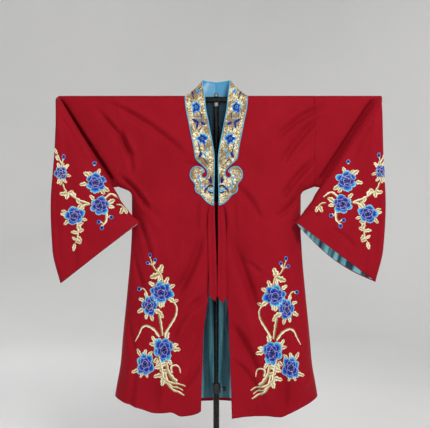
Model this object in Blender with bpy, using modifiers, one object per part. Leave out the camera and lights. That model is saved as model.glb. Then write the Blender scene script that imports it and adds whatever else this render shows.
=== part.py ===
"""Red opera robe with open front, wide sleeves and a cloud-ended collar, hung on its telescopic T stand.

Metres, +Z up. The origin is on the floor under the pole, the robe's front faces -Y.
"""

import math

import bmesh
import bpy
import numpy as np

# Driving sizes of the stand
BAR_HEIGHT = 1.450
BAR_RADIUS = 0.011
BAR_HALF_LENGTH = 0.560
BAR_CAP_LENGTH = 0.006
BASE_RADIUS = 0.190
BASE_THICKNESS = 0.012
HUB_RADIUS = 0.021
HUB_HEIGHT = 0.040
LOWER_TUBE_RADIUS = 0.0110
LOWER_TUBE_BORE = 0.0097
LOWER_TUBE_TOP = 0.400
UPPER_TUBE_RADIUS = 0.0090
UPPER_TUBE_FOOT = 0.235
CLAMP_RADIUS = 0.0155
CLAMP_HEIGHT = 0.036
SCREW_RADIUS = 0.0035
SCREW_LENGTH = 0.007
KNOB_RADIUS = 0.0095
KNOB_LENGTH = 0.013
FERRULE_RADIUS = 0.0105
FERRULE_HEIGHT = 0.014
NUT_RADIUS = 0.008
NUT_HEIGHT = 0.013

# Driving sizes of the cloth
CLOTH = 0.0016
COLLAR_THICKNESS = 0.0020
TIE_THICKNESS = 0.0012
LINING = 0.0010
LINING_EASE = 0.0004
LINING_TOP_ROW = 4
SEAM_TURN = 0.0006
SEAM = 0.0003
OVER_BAR = 0.0135
SLEEVE_SEAM = 0.3580
OVER_BAR_DEGREES = (0, 35, 65, 90)
NECK_COLUMNS = 1
SIDE_ROUNDING = 0.120
SLEEVE_DEPTH = 0.0170
PIPING_RADIUS = 0.0018
FRONT_COLUMNS = 10
BACK_COLUMNS = 16

# Side outline: drop below the bar, half width of the robe
SIDE = (
    (0.000, 0.3580),
    (0.316, 0.3580),
    (0.326, 0.3360),
    (0.334, 0.3180),
    (0.350, 0.3080),
    (0.465, 0.3077),
    (0.549, 0.3113),
    (0.710, 0.3250),
    (0.882, 0.3417),
    (0.958, 0.3480),
    (1.039, 0.3620),
    (1.094, 0.3710),
)

# Front edge: drop below the bar, distance from the middle
FRONT_EDGE = (
    (0.000, 0.0600),
    (0.090, 0.0330),
    (0.162, 0.0190),
    (0.209, 0.0140),
    (0.277, 0.0140),
    (0.360, 0.0200),
    (0.405, 0.0300),
    (0.479, 0.0345),
    (0.619, 0.0385),
    (0.763, 0.0425),
    (0.943, 0.0490),
    (1.134, 0.0545),
)

# Hem: distance from the middle, drop below the bar
HEM = (
    (0.000, 1.124),
    (0.054, 1.124),
    (0.120, 1.133),
    (0.240, 1.122),
    (0.320, 1.106),
    (0.371, 1.092),
)

# Depth of the hanging cloth: drop below the bar, distance of front and back from the bar's axis
DEPTH = (
    (0.000, 0.0135),
    (0.100, 0.0300),
    (0.300, 0.0480),
    (0.600, 0.0660),
    (0.900, 0.0840),
    (1.140, 0.0940),
)

# Rows of the cloth's grid, as drops below the bar
ROWS = (0.030, 0.090, 0.160, 0.230, 0.290, 0.316, 0.326, 0.334, 0.350,
        0.405, 0.465, 0.549, 0.630, 0.710, 0.800, 0.882, 0.958, 1.039)

# Largest folds of a front: upper x, upper drop, lower x, lower drop, half width, rise towards the viewer
FRONT_FOLDS = (
    (0.045, 0.480, 0.150, 0.720, 0.030, -0.007),
    (0.050, 0.640, 0.140, 0.860, 0.034, 0.008),
    (0.060, 0.800, 0.130, 0.990, 0.036, -0.008),
    (0.300, 0.420, 0.270, 0.700, 0.026, -0.006),
    (0.330, 0.760, 0.300, 1.060, 0.030, 0.006),
    (0.120, 0.900, 0.200, 1.120, 0.040, 0.007),
)

# Largest folds of the back, upright and uneven, in the same columns
BACK_FOLDS = (
    (-0.250, 0.420, -0.235, 1.140, 0.034, 0.008),
    (-0.135, 0.560, -0.110, 1.140, 0.040, -0.009),
    (0.020, 0.480, 0.010, 1.140, 0.036, 0.007),
    (0.125, 0.620, 0.150, 1.140, 0.038, -0.008),
    (0.240, 0.400, 0.265, 1.140, 0.036, 0.009),
)

# Sleeve sections from the seam to the cuff: upper x, upper drop, lower x, lower drop, middle y,
# half depth, rounding at the upper and the lower end, and the turn of its front about its length
SLEEVE_SECTIONS = (
    (0.3588, -0.0135, 0.3588, 0.318, 0.000, 0.0170, 0.016, 0.050, 0),
    (0.4200, -0.0135, 0.4200, 0.322, 0.000, 0.0165, 0.016, 0.050, 0),
    (0.5000, -0.0135, 0.5000, 0.328, 0.000, 0.0155, 0.016, 0.050, 0),
    (0.5680, -0.0135, 0.5560, 0.334, 0.000, 0.0140, 0.014, 0.040, 0),
    (0.5880, -0.0120, 0.5800, 0.342, -0.016, 0.0040, 0.014, 0.030, 90),
    (0.5860, -0.0080, 0.4900, 0.350, -0.033, 0.0040, 0.014, 0.030, 180),
    (0.5810, -0.0020, 0.3500, 0.362, -0.047, 0.0040, 0.014, 0.030, 90),
    (0.5850, 0.0300, 0.3410, 0.374, -0.058, 0.0060, 0.014, 0.030, 0),
    (0.5930, 0.1900, 0.3180, 0.402, -0.060, 0.0120, 0.016, 0.045, 0),
    (0.6040, 0.3850, 0.3020, 0.424, -0.061, 0.0180, 0.020, 0.060, 0),
    (0.5960, 0.5400, 0.2900, 0.438, -0.058, 0.0230, 0.024, 0.070, 0),
    (0.5680, 0.6590, 0.2820, 0.446, -0.056, 0.0260, 0.026, 0.080, 0),
)
LOOP_SHARES = (0.0, 0.012, 0.04, 0.12, 0.26, 0.42, 0.58, 0.74, 0.87, 0.95, 0.985, 1.0)
CUFF_SAG = {-1: 0.010, 1: 0.040}
CUFF_LINING_SECTIONS = 3
CUFF_LINING_INSET = 0.0026

# Collar half, round the neck from shoulder to middle back: outer edge x, y, rise; inner edge x, y, rise
NECK_RUN = (
    (0.1148, -0.0163, 0.0000, 0.0400, -0.0163, 0.0000),
    (0.1135, -0.0130, 0.0140, 0.0440, -0.0125, 0.0330),
    (0.1100, 0.0020, 0.0200, 0.0480, 0.0010, 0.0560),
    (0.1020, 0.0165, 0.0135, 0.0490, 0.0170, 0.0655),
    (0.0840, 0.0205, 0.0000, 0.0440, 0.0330, 0.0655),
    (0.0480, 0.0215, -0.0080, 0.0260, 0.0420, 0.0620),
    (0.0000, 0.0220, -0.0100, 0.0000, 0.0450, 0.0590),
)
NECK_ROW_STEP = 0.028

# Collar outline below the shoulder, outer edge first: distance from the middle, drop below the bar
COLLAR_OUTER = (
    (0.1148, 0.000),
    (0.1010, 0.085),
    (0.0835, 0.170),
    (0.0745, 0.222),
    (0.0600, 0.238),
    (0.0440, 0.248),
    (0.0350, 0.263),
    (0.0345, 0.275),
    (0.0400, 0.283),
    (0.0470, 0.279),
)
COLLAR_CLOUD = (
    (0.0505, 0.266),
    (0.0560, 0.255),
    (0.0680, 0.247),
    (0.0830, 0.249),
    (0.0935, 0.262),
    (0.0950, 0.280),
    (0.0870, 0.300),
    (0.0780, 0.314),
    (0.0745, 0.334),
    (0.0640, 0.347),
    (0.0520, 0.356),
    (0.0400, 0.372),
    (0.0250, 0.384),
    (0.0090, 0.388),
)
COLLAR_INNER = (
    (0.0072, 0.330),
    (0.0060, 0.277),
    (0.0060, 0.209),
    (0.0125, 0.162),
    (0.0260, 0.092),
    (0.0400, 0.000),
)
COLLAR_COLUMNS = (0.030, 0.055, 0.080)

# Tie: drop below the bar, inner and outer distance from the middle
TIE_ROWS = (
    (0.374, 0.0050, 0.0195),
    (0.400, 0.0040, 0.0275),
    (0.450, 0.0025, 0.0310),
    (0.560, 0.0012, 0.0330),
    (0.640, 0.0008, 0.0330),
    (0.712, 0.0008, 0.0320),
)
TIE_POINT_DROP = 0.022
TIE_LONGER = {-1: 0.0, 1: 0.008}
TIE_LIFT = 0.0002

RED = (0.36, 0.008, 0.020)
TURQUOISE = (0.035, 0.30, 0.46)
GOLD = (0.62, 0.48, 0.22)
BLACK = (0.012, 0.012, 0.013)
STEEL = (0.62, 0.62, 0.64)


def clear_scene():
    for obj in list(bpy.data.objects):
        bpy.data.objects.remove(obj, do_unlink=True)


def material(name, colour, roughness, metallic=0.0):
    made = bpy.data.materials.new(name)
    made.use_nodes = True
    shader = made.node_tree.nodes["Principled BSDF"]
    shader.inputs["Base Color"].default_value = (*colour, 1.0)
    shader.inputs["Roughness"].default_value = roughness
    shader.inputs["Metallic"].default_value = metallic
    made.diffuse_color = (*colour, 1.0)
    return made


def at(table, key, column=1):
    """Value of a table's column at a key in its first column."""
    return float(np.interp(key, [row[0] for row in table], [row[column] for row in table]))


def smooth(low, high, value):
    share = min(1.0, max(0.0, (value - low) / (high - low)))
    return share * share * (3.0 - 2.0 * share)


def rounded(distance, reach):
    """Share of full depth at a distance from a seam where the cloth turns over."""
    share = 1.0 - min(1.0, max(0.0, distance / reach))
    return math.sqrt(1.0 - share * share)


def seam_distance(x, drop):
    """Distance from a point of the flat outline to the side and underarm seam."""
    best = 9.0
    for (drop_a, x_a), (drop_b, x_b) in zip(SIDE[1:], SIDE[2:]):
        along_x, along_d = x_b - x_a, drop_b - drop_a
        share = ((x - x_a) * along_x + (drop - drop_a) * along_d) / (along_x**2 + along_d**2)
        share = min(1.0, max(0.0, share))
        best = min(best, math.hypot(x - x_a - share * along_x, drop - drop_a - share * along_d))
    return best


def fold_rise(folds, x, drop):
    """Height of the soft folds at a point, each fading out at its ends and sides."""
    rise = 0.0
    for x_a, drop_a, x_b, drop_b, half_width, height in folds:
        along_x, along_d = x_b - x_a, drop_b - drop_a
        length = math.hypot(along_x, along_d)
        share = ((x - x_a) * along_x + (drop - drop_a) * along_d) / length**2
        across = ((x - x_a) * along_d - (drop - drop_a) * along_x) / length
        inside = smooth(-0.15, 0.25, share) * (1.0 - smooth(0.80, 1.15, share))
        rise += height * inside * math.exp(-((across / half_width) ** 2))
    return rise


def depth(x, drop, folds=()):
    """Distance of the hanging cloth from the bar's plane."""
    distance = abs(x)
    full = at(DEPTH, drop)
    beside_arm = smooth(0.15, SLEEVE_SEAM, distance) * (1.0 - smooth(0.25, 0.45, drop))
    full += (SLEEVE_DEPTH - full) * beside_arm * (1.0 if full > SLEEVE_DEPTH else 0.0)
    turn = rounded(seam_distance(distance, drop), SIDE_ROUNDING if drop > 0.36 else 0.05)
    return full * turn + fold_rise(folds, x, drop) * turn


def over_bar(angle):
    """Distance forward and drop of the cloth that lies on the bar, from its top round to level."""
    return OVER_BAR * math.sin(angle), -OVER_BAR * math.cos(angle)


def grid_object(name, rows, closed=False, left_out=()):
    """Open sheet, or tube where closed, through rows of points, without the faces that are left out."""
    shape = bmesh.new()
    points = [[shape.verts.new(point) for point in row] for row in rows]
    count = len(rows[0])
    spans = count if closed else count - 1
    for i, (upper, lower) in enumerate(zip(points, points[1:])):
        for j in range(spans):
            k = (j + 1) % count
            if (i, j) not in left_out:
                shape.faces.new((upper[j], upper[k], lower[k], lower[j]))
    bmesh.ops.delete(shape, geom=[vert for vert in shape.verts if not vert.link_faces], context="VERTS")
    bmesh.ops.recalc_face_normals(shape, faces=shape.faces)
    mesh = bpy.data.meshes.new(name)
    shape.to_mesh(mesh)
    shape.free()
    mesh.shade_smooth()
    return bpy.data.objects.new(name, mesh)


def thicken(obj, thickness):
    wall = obj.modifiers.new("wall", "SOLIDIFY")
    wall.thickness = thickness
    wall.offset = 0.0
    wall.use_even_offset = False


def finish(obj, collection, surface, parent):
    obj.data.materials.append(surface)
    obj.parent = parent
    collection.objects.link(obj)
    return obj


def front_rows(side):
    """Rows of a front panel, from the top of the bar to the hem."""
    rows = []
    shares = [math.sin(0.5 * math.pi * j / FRONT_COLUMNS) for j in range(FRONT_COLUMNS + 1)]
    gap = 0.5 * SEAM + SEAM_TURN
    for degrees in OVER_BAR_DEGREES:
        forward, drop = over_bar(math.radians(degrees))
        edge, side_x = at(FRONT_EDGE, 0.0), SLEEVE_SEAM
        forward = max(forward, gap)
        columns = [side * (edge + (side_x - edge) * s) for s in shares]
        rows.append([(x, -forward, BAR_HEIGHT - drop) for x in columns])
    for drop in ROWS + (None,):
        row = []
        for s in shares:
            row_drop = drop
            if row_drop is None:
                hem_x = at(FRONT_EDGE, 1.12) + (at(SIDE, 1.10) - at(FRONT_EDGE, 1.12)) * s
                row_drop = at(HEM, hem_x)
            edge, side_x = at(FRONT_EDGE, row_drop), at(SIDE, row_drop)
            x = edge + (side_x - edge) * s
            forward = max(depth(x, row_drop, FRONT_FOLDS), gap)
            row.append((side * x, -forward, BAR_HEIGHT - row_drop))
        rows.append(row)
    return rows


def back_rows():
    """Rows of the back panel, from the top of the bar to the hem."""
    rows = []
    half = BACK_COLUMNS // 2
    shares = [math.sin(0.5 * math.pi * j / half) for j in range(-half, half + 1)]
    gap = 0.5 * SEAM + SEAM_TURN
    for degrees in OVER_BAR_DEGREES:
        behind, drop = over_bar(math.radians(degrees))
        rows.append([(SLEEVE_SEAM * s, max(behind, gap), BAR_HEIGHT - drop) for s in shares])
    for drop in ROWS + (None,):
        row = []
        for s in shares:
            row_drop = at(HEM, abs(at(SIDE, 1.10) * s)) if drop is None else drop
            x = at(SIDE, row_drop) * s
            behind = max(depth(x, row_drop, BACK_FOLDS), gap)
            row.append((x, behind, BAR_HEIGHT - row_drop))
        rows.append(row)
    return rows


def moved_in(rows, distance):
    """Rows of a sheet moved towards -Y side of its own surface by a distance."""
    grid = np.array(rows)
    across = np.gradient(grid, axis=1)
    down = np.gradient(grid, axis=0)
    normal = np.cross(across, down)
    normal /= np.linalg.norm(normal, axis=2, keepdims=True)
    normal *= np.where(np.median(normal[..., 1]) > 0.0, -1.0, 1.0)
    return (grid + normal * distance).tolist()


def sleeve_loop(section, side, inset=0.0, sag=0.0):
    """Closed ring of points of one sleeve section, down its front layer and up its back layer."""
    top_x, top_drop, low_x, low_drop, middle_y, half_depth, top_round, low_round, turn = section
    length = math.hypot(low_x - top_x, low_drop - top_drop)
    down_x, down_d = (low_x - top_x) / length, (low_drop - top_drop) / length
    angle = math.radians(turn)
    facing = (-math.sin(angle) * down_d, -math.cos(angle), math.sin(angle) * down_x)
    ring = []
    last = len(LOOP_SHARES) - 1
    for j in range(2 * last):
        layer = 1.0 if j <= last else -1.0
        share = LOOP_SHARES[j] if j <= last else LOOP_SHARES[2 * last - j]
        along = inset + (length - 2.0 * inset) * share
        away = (half_depth - inset) * rounded(along - inset, top_round)
        away *= rounded(length - inset - along, low_round)
        hang = sag * math.sin(math.pi * share) if layer < 0 else 0.0
        x = top_x + down_x * along + facing[0] * layer * away
        y = middle_y + facing[1] * layer * away
        drop = top_drop + down_d * along + facing[2] * layer * away + hang
        ring.append((side * x, y, BAR_HEIGHT - drop))
    return ring


def collar_point(x, drop, lift):
    """Point of the collar half at a place of its flat pattern; a negative drop runs round the neck."""
    if drop >= 0.0:
        return x, -(depth(x, drop, FRONT_FOLDS) + lift), -drop
    outer_x, inner_x = NECK_RUN[0][0], NECK_RUN[0][3]
    share = (outer_x - x) / (outer_x - inner_x)
    run = -drop / NECK_ROW_STEP
    step = min(int(run), len(NECK_RUN) - 2)
    mix = run - step
    here = [a + (b - a) * mix for a, b in zip(NECK_RUN[step], NECK_RUN[step + 1])]
    return tuple(here[k] + (here[k + 3] - here[k]) * share for k in range(3))


def shrunk(outline, distance):
    """Closed outline moved inwards along the mean normals of its corners."""
    moved = []
    for before, here, after in zip(outline[-1:] + outline[:-1], outline, outline[1:] + outline[:1]):
        normal = [0.0, 0.0]
        for a, b in ((before, here), (here, after)):
            length = math.hypot(b[0] - a[0], b[1] - a[1])
            normal[0] += -(b[1] - a[1]) / length
            normal[1] += (b[0] - a[0]) / length
        size = math.hypot(*normal)
        grow = distance / max(0.35, size / 2.0)
        moved.append((here[0] + normal[0] / size * grow, here[1] + normal[1] / size * grow))
    return moved


def collar_outline(inset):
    """Flat outline of the collar half as x and drop, with its two ends on the middle of the back."""
    end = -NECK_ROW_STEP * (len(NECK_RUN) - 1)
    outline = [(NECK_RUN[0][0], end)] + list(COLLAR_OUTER + COLLAR_CLOUD + COLLAR_INNER)
    outline.append((NECK_RUN[0][3], end))
    moved = shrunk(outline, inset)
    moved[0] = (moved[0][0], end)
    moved[-1] = (moved[-1][0], end)
    return moved


def make_collar():
    """Collar sheet: the flat outline, cut into small faces and laid round neck and fronts."""
    lift = 0.5 * CLOTH + SEAM + 0.5 * COLLAR_THICKNESS + 0.0002
    shape = bmesh.new()
    outline = collar_outline(2.0 * PIPING_RADIUS + 2.0 * SEAM)
    shape.faces.new([shape.verts.new((x, -drop, 0.0)) for x, drop in outline])
    heights = [NECK_ROW_STEP * k for k in range(len(NECK_RUN) - 1)]
    heights += [-drop for drop in ROWS if drop < COLLAR_CLOUD[-1][1]]
    cuts = [((0.0, height, 0.0), (0.0, 1.0, 0.0)) for height in heights]
    cuts += [((x, 0.0, 0.0), (1.0, 0.0, 0.0)) for x in COLLAR_COLUMNS]
    for point, normal in cuts:
        parts = shape.verts[:] + shape.edges[:] + shape.faces[:]
        bmesh.ops.bisect_plane(shape, geom=parts, dist=1e-6, plane_co=point, plane_no=normal)
    bmesh.ops.triangulate(shape, faces=shape.faces)
    for vert in shape.verts:
        x, y, z = collar_point(vert.co.x, -vert.co.y, lift)
        vert.co = (x, y, BAR_HEIGHT + z)
    mesh = bpy.data.meshes.new("collar")
    shape.to_mesh(mesh)
    shape.free()
    obj = bpy.data.objects.new("collar", mesh)
    halves = obj.modifiers.new("other half", "MIRROR")
    halves.use_clip = False
    halves.merge_threshold = 0.0001
    thicken(obj, COLLAR_THICKNESS)
    return obj


def make_piping():
    """Cord sewn round the collar's whole edge, one closed loop through both halves."""
    lift = 0.5 * CLOTH + SEAM + PIPING_RADIUS + 0.0004
    outline = collar_outline(PIPING_RADIUS)
    outline[1] = (outline[1][0], 0.0)
    outline[-2] = (outline[-2][0], 0.0)
    path = []
    for (x_a, drop_a), (x_b, drop_b) in zip(outline, outline[1:]):
        steps = max(1, round(math.hypot(x_b - x_a, drop_b - drop_a) / NECK_ROW_STEP))
        for k in range(steps):
            path.append((x_a + (x_b - x_a) * k / steps, drop_a + (drop_b - drop_a) * k / steps))
    path.append(outline[-1])
    half = [collar_point(x, drop, lift) for x, drop in path]
    points = half + [(-x, y, z) for x, y, z in reversed(half[1:-1])]
    curve = bpy.data.curves.new("collar_piping", "CURVE")
    curve.dimensions = "3D"
    curve.bevel_depth = PIPING_RADIUS
    curve.bevel_resolution = 1
    spline = curve.splines.new("POLY")
    spline.points.add(len(points) - 1)
    for place, (x, y, z) in zip(spline.points, points):
        place.co = (x, y, BAR_HEIGHT + z, 1.0)
    spline.use_cyclic_u = True
    return bpy.data.objects.new("collar_piping", curve)


def tie_rows(side):
    """Rows of a hanging tie, the last one cut to a point."""
    rows = []
    for drop, inner, outer in TIE_ROWS:
        last = drop == TIE_ROWS[-1][0]
        stretch = drop + (TIE_LONGER[side] if last else 0.0)
        width = outer - inner
        row = []
        for share in (0.0, 0.5, 1.0):
            x = inner + width * share
            point = TIE_POINT_DROP * (1.0 - abs(2.0 * share - 1.0)) if last else 0.0
            y = -(at(DEPTH, drop) + TIE_LIFT)
            row.append((side * x, y, BAR_HEIGHT - stretch - point))
        rows.append(row)
    return rows


def cylinder(name, radius, length, centre, axis="Z", vertices=32, bevel=0.0):
    bpy.ops.mesh.primitive_cylinder_add(vertices=vertices, radius=radius, depth=length)
    obj = bpy.context.object
    obj.name = name
    obj.location = centre
    if axis == "X":
        obj.rotation_euler = (0.0, math.pi / 2.0, 0.0)
    for collection in obj.users_collection:
        collection.objects.unlink(obj)
    if bevel:
        edge = obj.modifiers.new("edge", "BEVEL")
        edge.width = bevel
        edge.segments = 2
        edge.limit_method = "ANGLE"
    obj.data.shade_smooth()
    obj.data.set_sharp_from_angle(angle=math.radians(40))
    return obj


def turned(name, profile, steps=32):
    """Body turned about the pole from radius and height pairs, its outer side listed top to bottom."""
    mesh = bpy.data.meshes.new(name)
    points = [(radius, 0.0, height) for radius, height in profile]
    edges = [(k, (k + 1) % len(points)) for k in range(len(points))]
    mesh.from_pydata(points, edges, [])
    obj = bpy.data.objects.new(name, mesh)
    spin = obj.modifiers.new("turn", "SCREW")
    spin.steps = steps
    spin.render_steps = steps
    spin.use_merge_vertices = True
    spin.merge_threshold = 0.00001
    return obj


def make_stand(collection, black, steel, parent):
    """Floor disc, outer tube in its hub, and the clamp with its screw and knob."""
    place = (0, 0, BASE_THICKNESS / 2)
    base = cylinder("stand_base", BASE_RADIUS, BASE_THICKNESS, place, vertices=48, bevel=0.003)
    finish(base, collection, black, parent)

    hub_foot = BASE_THICKNESS + SEAM
    hub = turned("stand_hub", (
        (LOWER_TUBE_RADIUS + 0.004, hub_foot + HUB_HEIGHT),
        (HUB_RADIUS, hub_foot + 0.012),
        (HUB_RADIUS, hub_foot),
        (LOWER_TUBE_RADIUS + SEAM, hub_foot),
        (LOWER_TUBE_RADIUS + SEAM, hub_foot + HUB_HEIGHT),
    ))
    finish(hub, collection, black, parent)

    lower = turned("stand_lower_tube", (
        (LOWER_TUBE_RADIUS, LOWER_TUBE_TOP),
        (LOWER_TUBE_RADIUS, hub_foot),
        (LOWER_TUBE_BORE, hub_foot),
        (LOWER_TUBE_BORE, LOWER_TUBE_TOP),
    ))
    finish(lower, collection, black, parent)

    clamp_low = LOWER_TUBE_TOP - CLAMP_HEIGHT * 0.6
    clamp_high = clamp_low + CLAMP_HEIGHT
    clamp = turned("stand_clamp", (
        (CLAMP_RADIUS - 0.002, clamp_high),
        (CLAMP_RADIUS, clamp_high - 0.003),
        (CLAMP_RADIUS, clamp_low + 0.003),
        (CLAMP_RADIUS - 0.002, clamp_low),
        (LOWER_TUBE_RADIUS + SEAM, clamp_low),
        (LOWER_TUBE_RADIUS + SEAM, LOWER_TUBE_TOP + SEAM),
        (UPPER_TUBE_RADIUS + 2.0 * SEAM, LOWER_TUBE_TOP + SEAM),
        (UPPER_TUBE_RADIUS + 2.0 * SEAM, clamp_high),
    ))
    finish(clamp, collection, black, parent)

    screw_height = clamp_low + CLAMP_HEIGHT * 0.40
    screw_x = CLAMP_RADIUS + SEAM + SCREW_LENGTH / 2
    place = (screw_x, 0, screw_height)
    screw = cylinder("clamp_screw", SCREW_RADIUS, SCREW_LENGTH, place, axis="X", vertices=16)
    finish(screw, collection, steel, parent)
    place = (screw_x + SCREW_LENGTH / 2 + SEAM + KNOB_LENGTH / 2, 0, screw_height)
    knob = cylinder("clamp_knob", KNOB_RADIUS, KNOB_LENGTH, place, axis="X", vertices=24, bevel=0.0015)
    finish(knob, collection, black, parent)


def make_bar(collection, black, steel, parent):
    """Inner pole with its ferrule, and the bar through the sleeves with its end caps and nut."""
    bar_foot = BAR_HEIGHT - BAR_RADIUS - SEAM
    place = (0, 0, bar_foot - FERRULE_HEIGHT / 2)
    ferrule = cylinder("pole_ferrule", FERRULE_RADIUS, FERRULE_HEIGHT, place, vertices=24, bevel=0.001)
    finish(ferrule, collection, steel, parent)
    length = bar_foot - FERRULE_HEIGHT - SEAM - UPPER_TUBE_FOOT
    place = (0, 0, UPPER_TUBE_FOOT + length / 2)
    upper = cylinder("stand_upper_tube", UPPER_TUBE_RADIUS, length, place)
    finish(upper, collection, black, parent)

    place = (0, 0, BAR_HEIGHT)
    bar = cylinder("stand_bar", BAR_RADIUS, 2 * BAR_HALF_LENGTH, place, axis="X", vertices=24)
    finish(bar, collection, black, parent)
    for name, side in (("bar_cap_left", -1), ("bar_cap_right", 1)):
        place = (side * (BAR_HALF_LENGTH + SEAM + BAR_CAP_LENGTH / 2), 0, BAR_HEIGHT)
        cap = cylinder(name, BAR_RADIUS, BAR_CAP_LENGTH, place, axis="X", vertices=24, bevel=0.002)
        finish(cap, collection, black, parent)
    nut_foot = BAR_HEIGHT + BAR_RADIUS + SEAM
    nut = turned("bar_nut", (
        (NUT_RADIUS * 0.55, nut_foot + NUT_HEIGHT),
        (NUT_RADIUS, nut_foot + NUT_HEIGHT * 0.6),
        (NUT_RADIUS, nut_foot),
        (0.0, nut_foot),
        (0.0, nut_foot + NUT_HEIGHT),
    ), steps=20)
    finish(nut, collection, steel, parent)


def make_robe(collection, red, turquoise, gold, parent):
    """Fronts, back, lining, sleeves, collar with piping, and the two ties."""
    for name, side in (("front_left", -1), ("front_right", 1)):
        panel = grid_object(name, front_rows(side))
        thicken(panel, CLOTH)
        finish(panel, collection, red, parent)

    middle = BACK_COLUMNS // 2
    neck_hole = {(i, j) for i in range(len(OVER_BAR_DEGREES) - 1)
                 for j in range(middle - NECK_COLUMNS, middle + NECK_COLUMNS)}
    back = grid_object("back", back_rows(), left_out=neck_hole)
    thicken(back, CLOTH)
    finish(back, collection, red, parent)
    inner = moved_in(back_rows(), 0.5 * CLOTH + SEAM + 0.5 * LINING + LINING_EASE)
    lining = grid_object("back_lining", [row[1:-1] for row in inner[LINING_TOP_ROW:]])
    thicken(lining, LINING)
    finish(lining, collection, turquoise, parent)

    for name, side in (("left", -1), ("right", 1)):
        rings = []
        for index, section in enumerate(SLEEVE_SECTIONS):
            past = max(0, index - len(SLEEVE_SECTIONS) + CUFF_LINING_SECTIONS)
            sag = CUFF_SAG[side] * past / (CUFF_LINING_SECTIONS - 1)
            rings.append((section, sag))
        loops = [sleeve_loop(section, side, 0.0, sag) for section, sag in rings]
        sleeve = grid_object(f"sleeve_{name}", loops, closed=True)
        thicken(sleeve, CLOTH)
        finish(sleeve, collection, red, parent)
        inner = rings[-CUFF_LINING_SECTIONS:]
        loops = [sleeve_loop(section, side, CUFF_LINING_INSET, sag) for section, sag in inner]
        cuff = grid_object(f"cuff_lining_{name}", loops, closed=True)
        thicken(cuff, LINING)
        finish(cuff, collection, turquoise, parent)

    finish(make_collar(), collection, gold, parent)
    finish(make_piping(), collection, turquoise, parent)

    for name, side in (("tie_left", -1), ("tie_right", 1)):
        tie = grid_object(name, tie_rows(side))
        thicken(tie, TIE_THICKNESS)
        finish(tie, collection, red, parent)


def main():
    clear_scene()
    collection = bpy.data.collections.new("opera_robe_on_stand")
    bpy.context.scene.collection.children.link(collection)
    red = material("red_satin", RED, 0.55)
    turquoise = material("turquoise_lining", TURQUOISE, 0.35)
    gold = material("gold_brocade", GOLD, 0.50)
    black = material("black_enamel", BLACK, 0.40)
    steel = material("plated_steel", STEEL, 0.20, 1.0)
    carried = bpy.data.objects.new("carried_by_pole", None)
    standing = bpy.data.objects.new("standing_on_floor", None)
    collection.objects.link(carried)
    collection.objects.link(standing)
    make_stand(collection, black, steel, standing)
    make_bar(collection, black, steel, carried)
    make_robe(collection, red, turquoise, gold, carried)


main()
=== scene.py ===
"""Red opera robe with its telescopic T stand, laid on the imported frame.

Metres, +Z up, the robe's front faces -Y, left (-1) and right (1) as the viewer sees them.
Tables inside metres() are stated in millimetres.
"""
import math

import bmesh
import bpy
import numpy as np
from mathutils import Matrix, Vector
from mathutils.bvhtree import BVHTree
from mathutils.geometry import delaunay_2d_cdt


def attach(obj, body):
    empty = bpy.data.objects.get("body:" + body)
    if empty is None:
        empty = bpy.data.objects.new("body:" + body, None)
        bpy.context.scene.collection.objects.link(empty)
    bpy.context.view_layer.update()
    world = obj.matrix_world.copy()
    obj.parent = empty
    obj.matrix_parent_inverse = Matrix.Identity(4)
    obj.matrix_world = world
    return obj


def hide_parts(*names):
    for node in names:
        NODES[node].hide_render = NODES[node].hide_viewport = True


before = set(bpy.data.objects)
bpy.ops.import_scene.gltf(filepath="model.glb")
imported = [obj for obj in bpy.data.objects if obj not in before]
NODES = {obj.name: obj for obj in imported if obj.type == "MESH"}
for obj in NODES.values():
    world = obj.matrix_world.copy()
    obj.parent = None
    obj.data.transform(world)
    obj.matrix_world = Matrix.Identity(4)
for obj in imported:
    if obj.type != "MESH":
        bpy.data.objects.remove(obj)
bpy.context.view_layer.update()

# Studio: a pale floor that curves up all round into a plain wall, so that each side of the robe
# has the same ground behind it. Three soft lamps hang over it, the strongest in front to the right.
FLOOR_REACH = 3.6
WALL_CURVE = 1.4
WALL_TOP = 6.5
WALL_STEPS = 12
FLOOR_SIDES = 72
AIR_STRENGTH = 0.24
CAMERA_LENS = 61.86
CAMERA_PLACE = (-0.0047, -2.70, 1.0324)
LAMPS = (
    ("lamp_front_right", (1.5, -3.0, 3.3), (0.0, 0.0, 0.70), 1.1, 100.0, (1.0, 0.985, 0.965)),
    ("lamp_front_left", (-2.8, -2.6, 1.4), (0.0, 0.0, 0.80), 1.8, 11.0, (0.97, 0.985, 1.0)),
    ("lamp_over_back", (-2.1, 2.4, 2.9), (0.0, 0.0, 0.9), 1.5, 46.0, (1.0, 1.0, 1.0)),
)


def linked(name, data):
    """New object in the scene for a mesh, a light or a camera."""
    made = bpy.data.objects.new(name, data)
    bpy.context.scene.collection.objects.link(made)
    return made


def given(tree, socket, value):
    """Links an input to another node's output, or sets it to a value."""
    if isinstance(value, bpy.types.NodeSocket):
        tree.links.new(value, socket)
    else:
        socket.default_value = value


def node(tree, kind, links=None, **settings):
    """Shader node, or one of another kind by its whole name, with its settings and its inputs."""
    made = tree.nodes.new(kind if "Node" in kind else "ShaderNode" + kind)
    for key, value in settings.items():
        setattr(made, key, value)
    for key, value in (links or {}).items():
        given(tree, made.inputs[key], value)
    return made


def blended(tree, share, low, high, how="MIX"):
    """Colour between two colours or colour sockets by a share."""
    made = node(tree, "Mix", {0: share}, data_type="RGBA", blend_type=how)
    for key, value in ((6, low), (7, high)):
        given(tree, made.inputs[key], (*value, 1.0) if isinstance(value, tuple) else value)
    return made.outputs[2]


def ranged(tree, value, low, high, to_low=0.0, to_high=1.0):
    """Value moved from one range to another and held inside it."""
    links = {"Value": value, "From Min": low, "From Max": high, "To Min": to_low, "To Max": to_high}
    return node(tree, "MapRange", links).outputs[0]


def calculated(tree, how, first, second, **settings):
    """Sum, product or other result of two values or sockets."""
    return node(tree, "Math", {0: first, 1: second}, operation=how, **settings).outputs[0]


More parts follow.
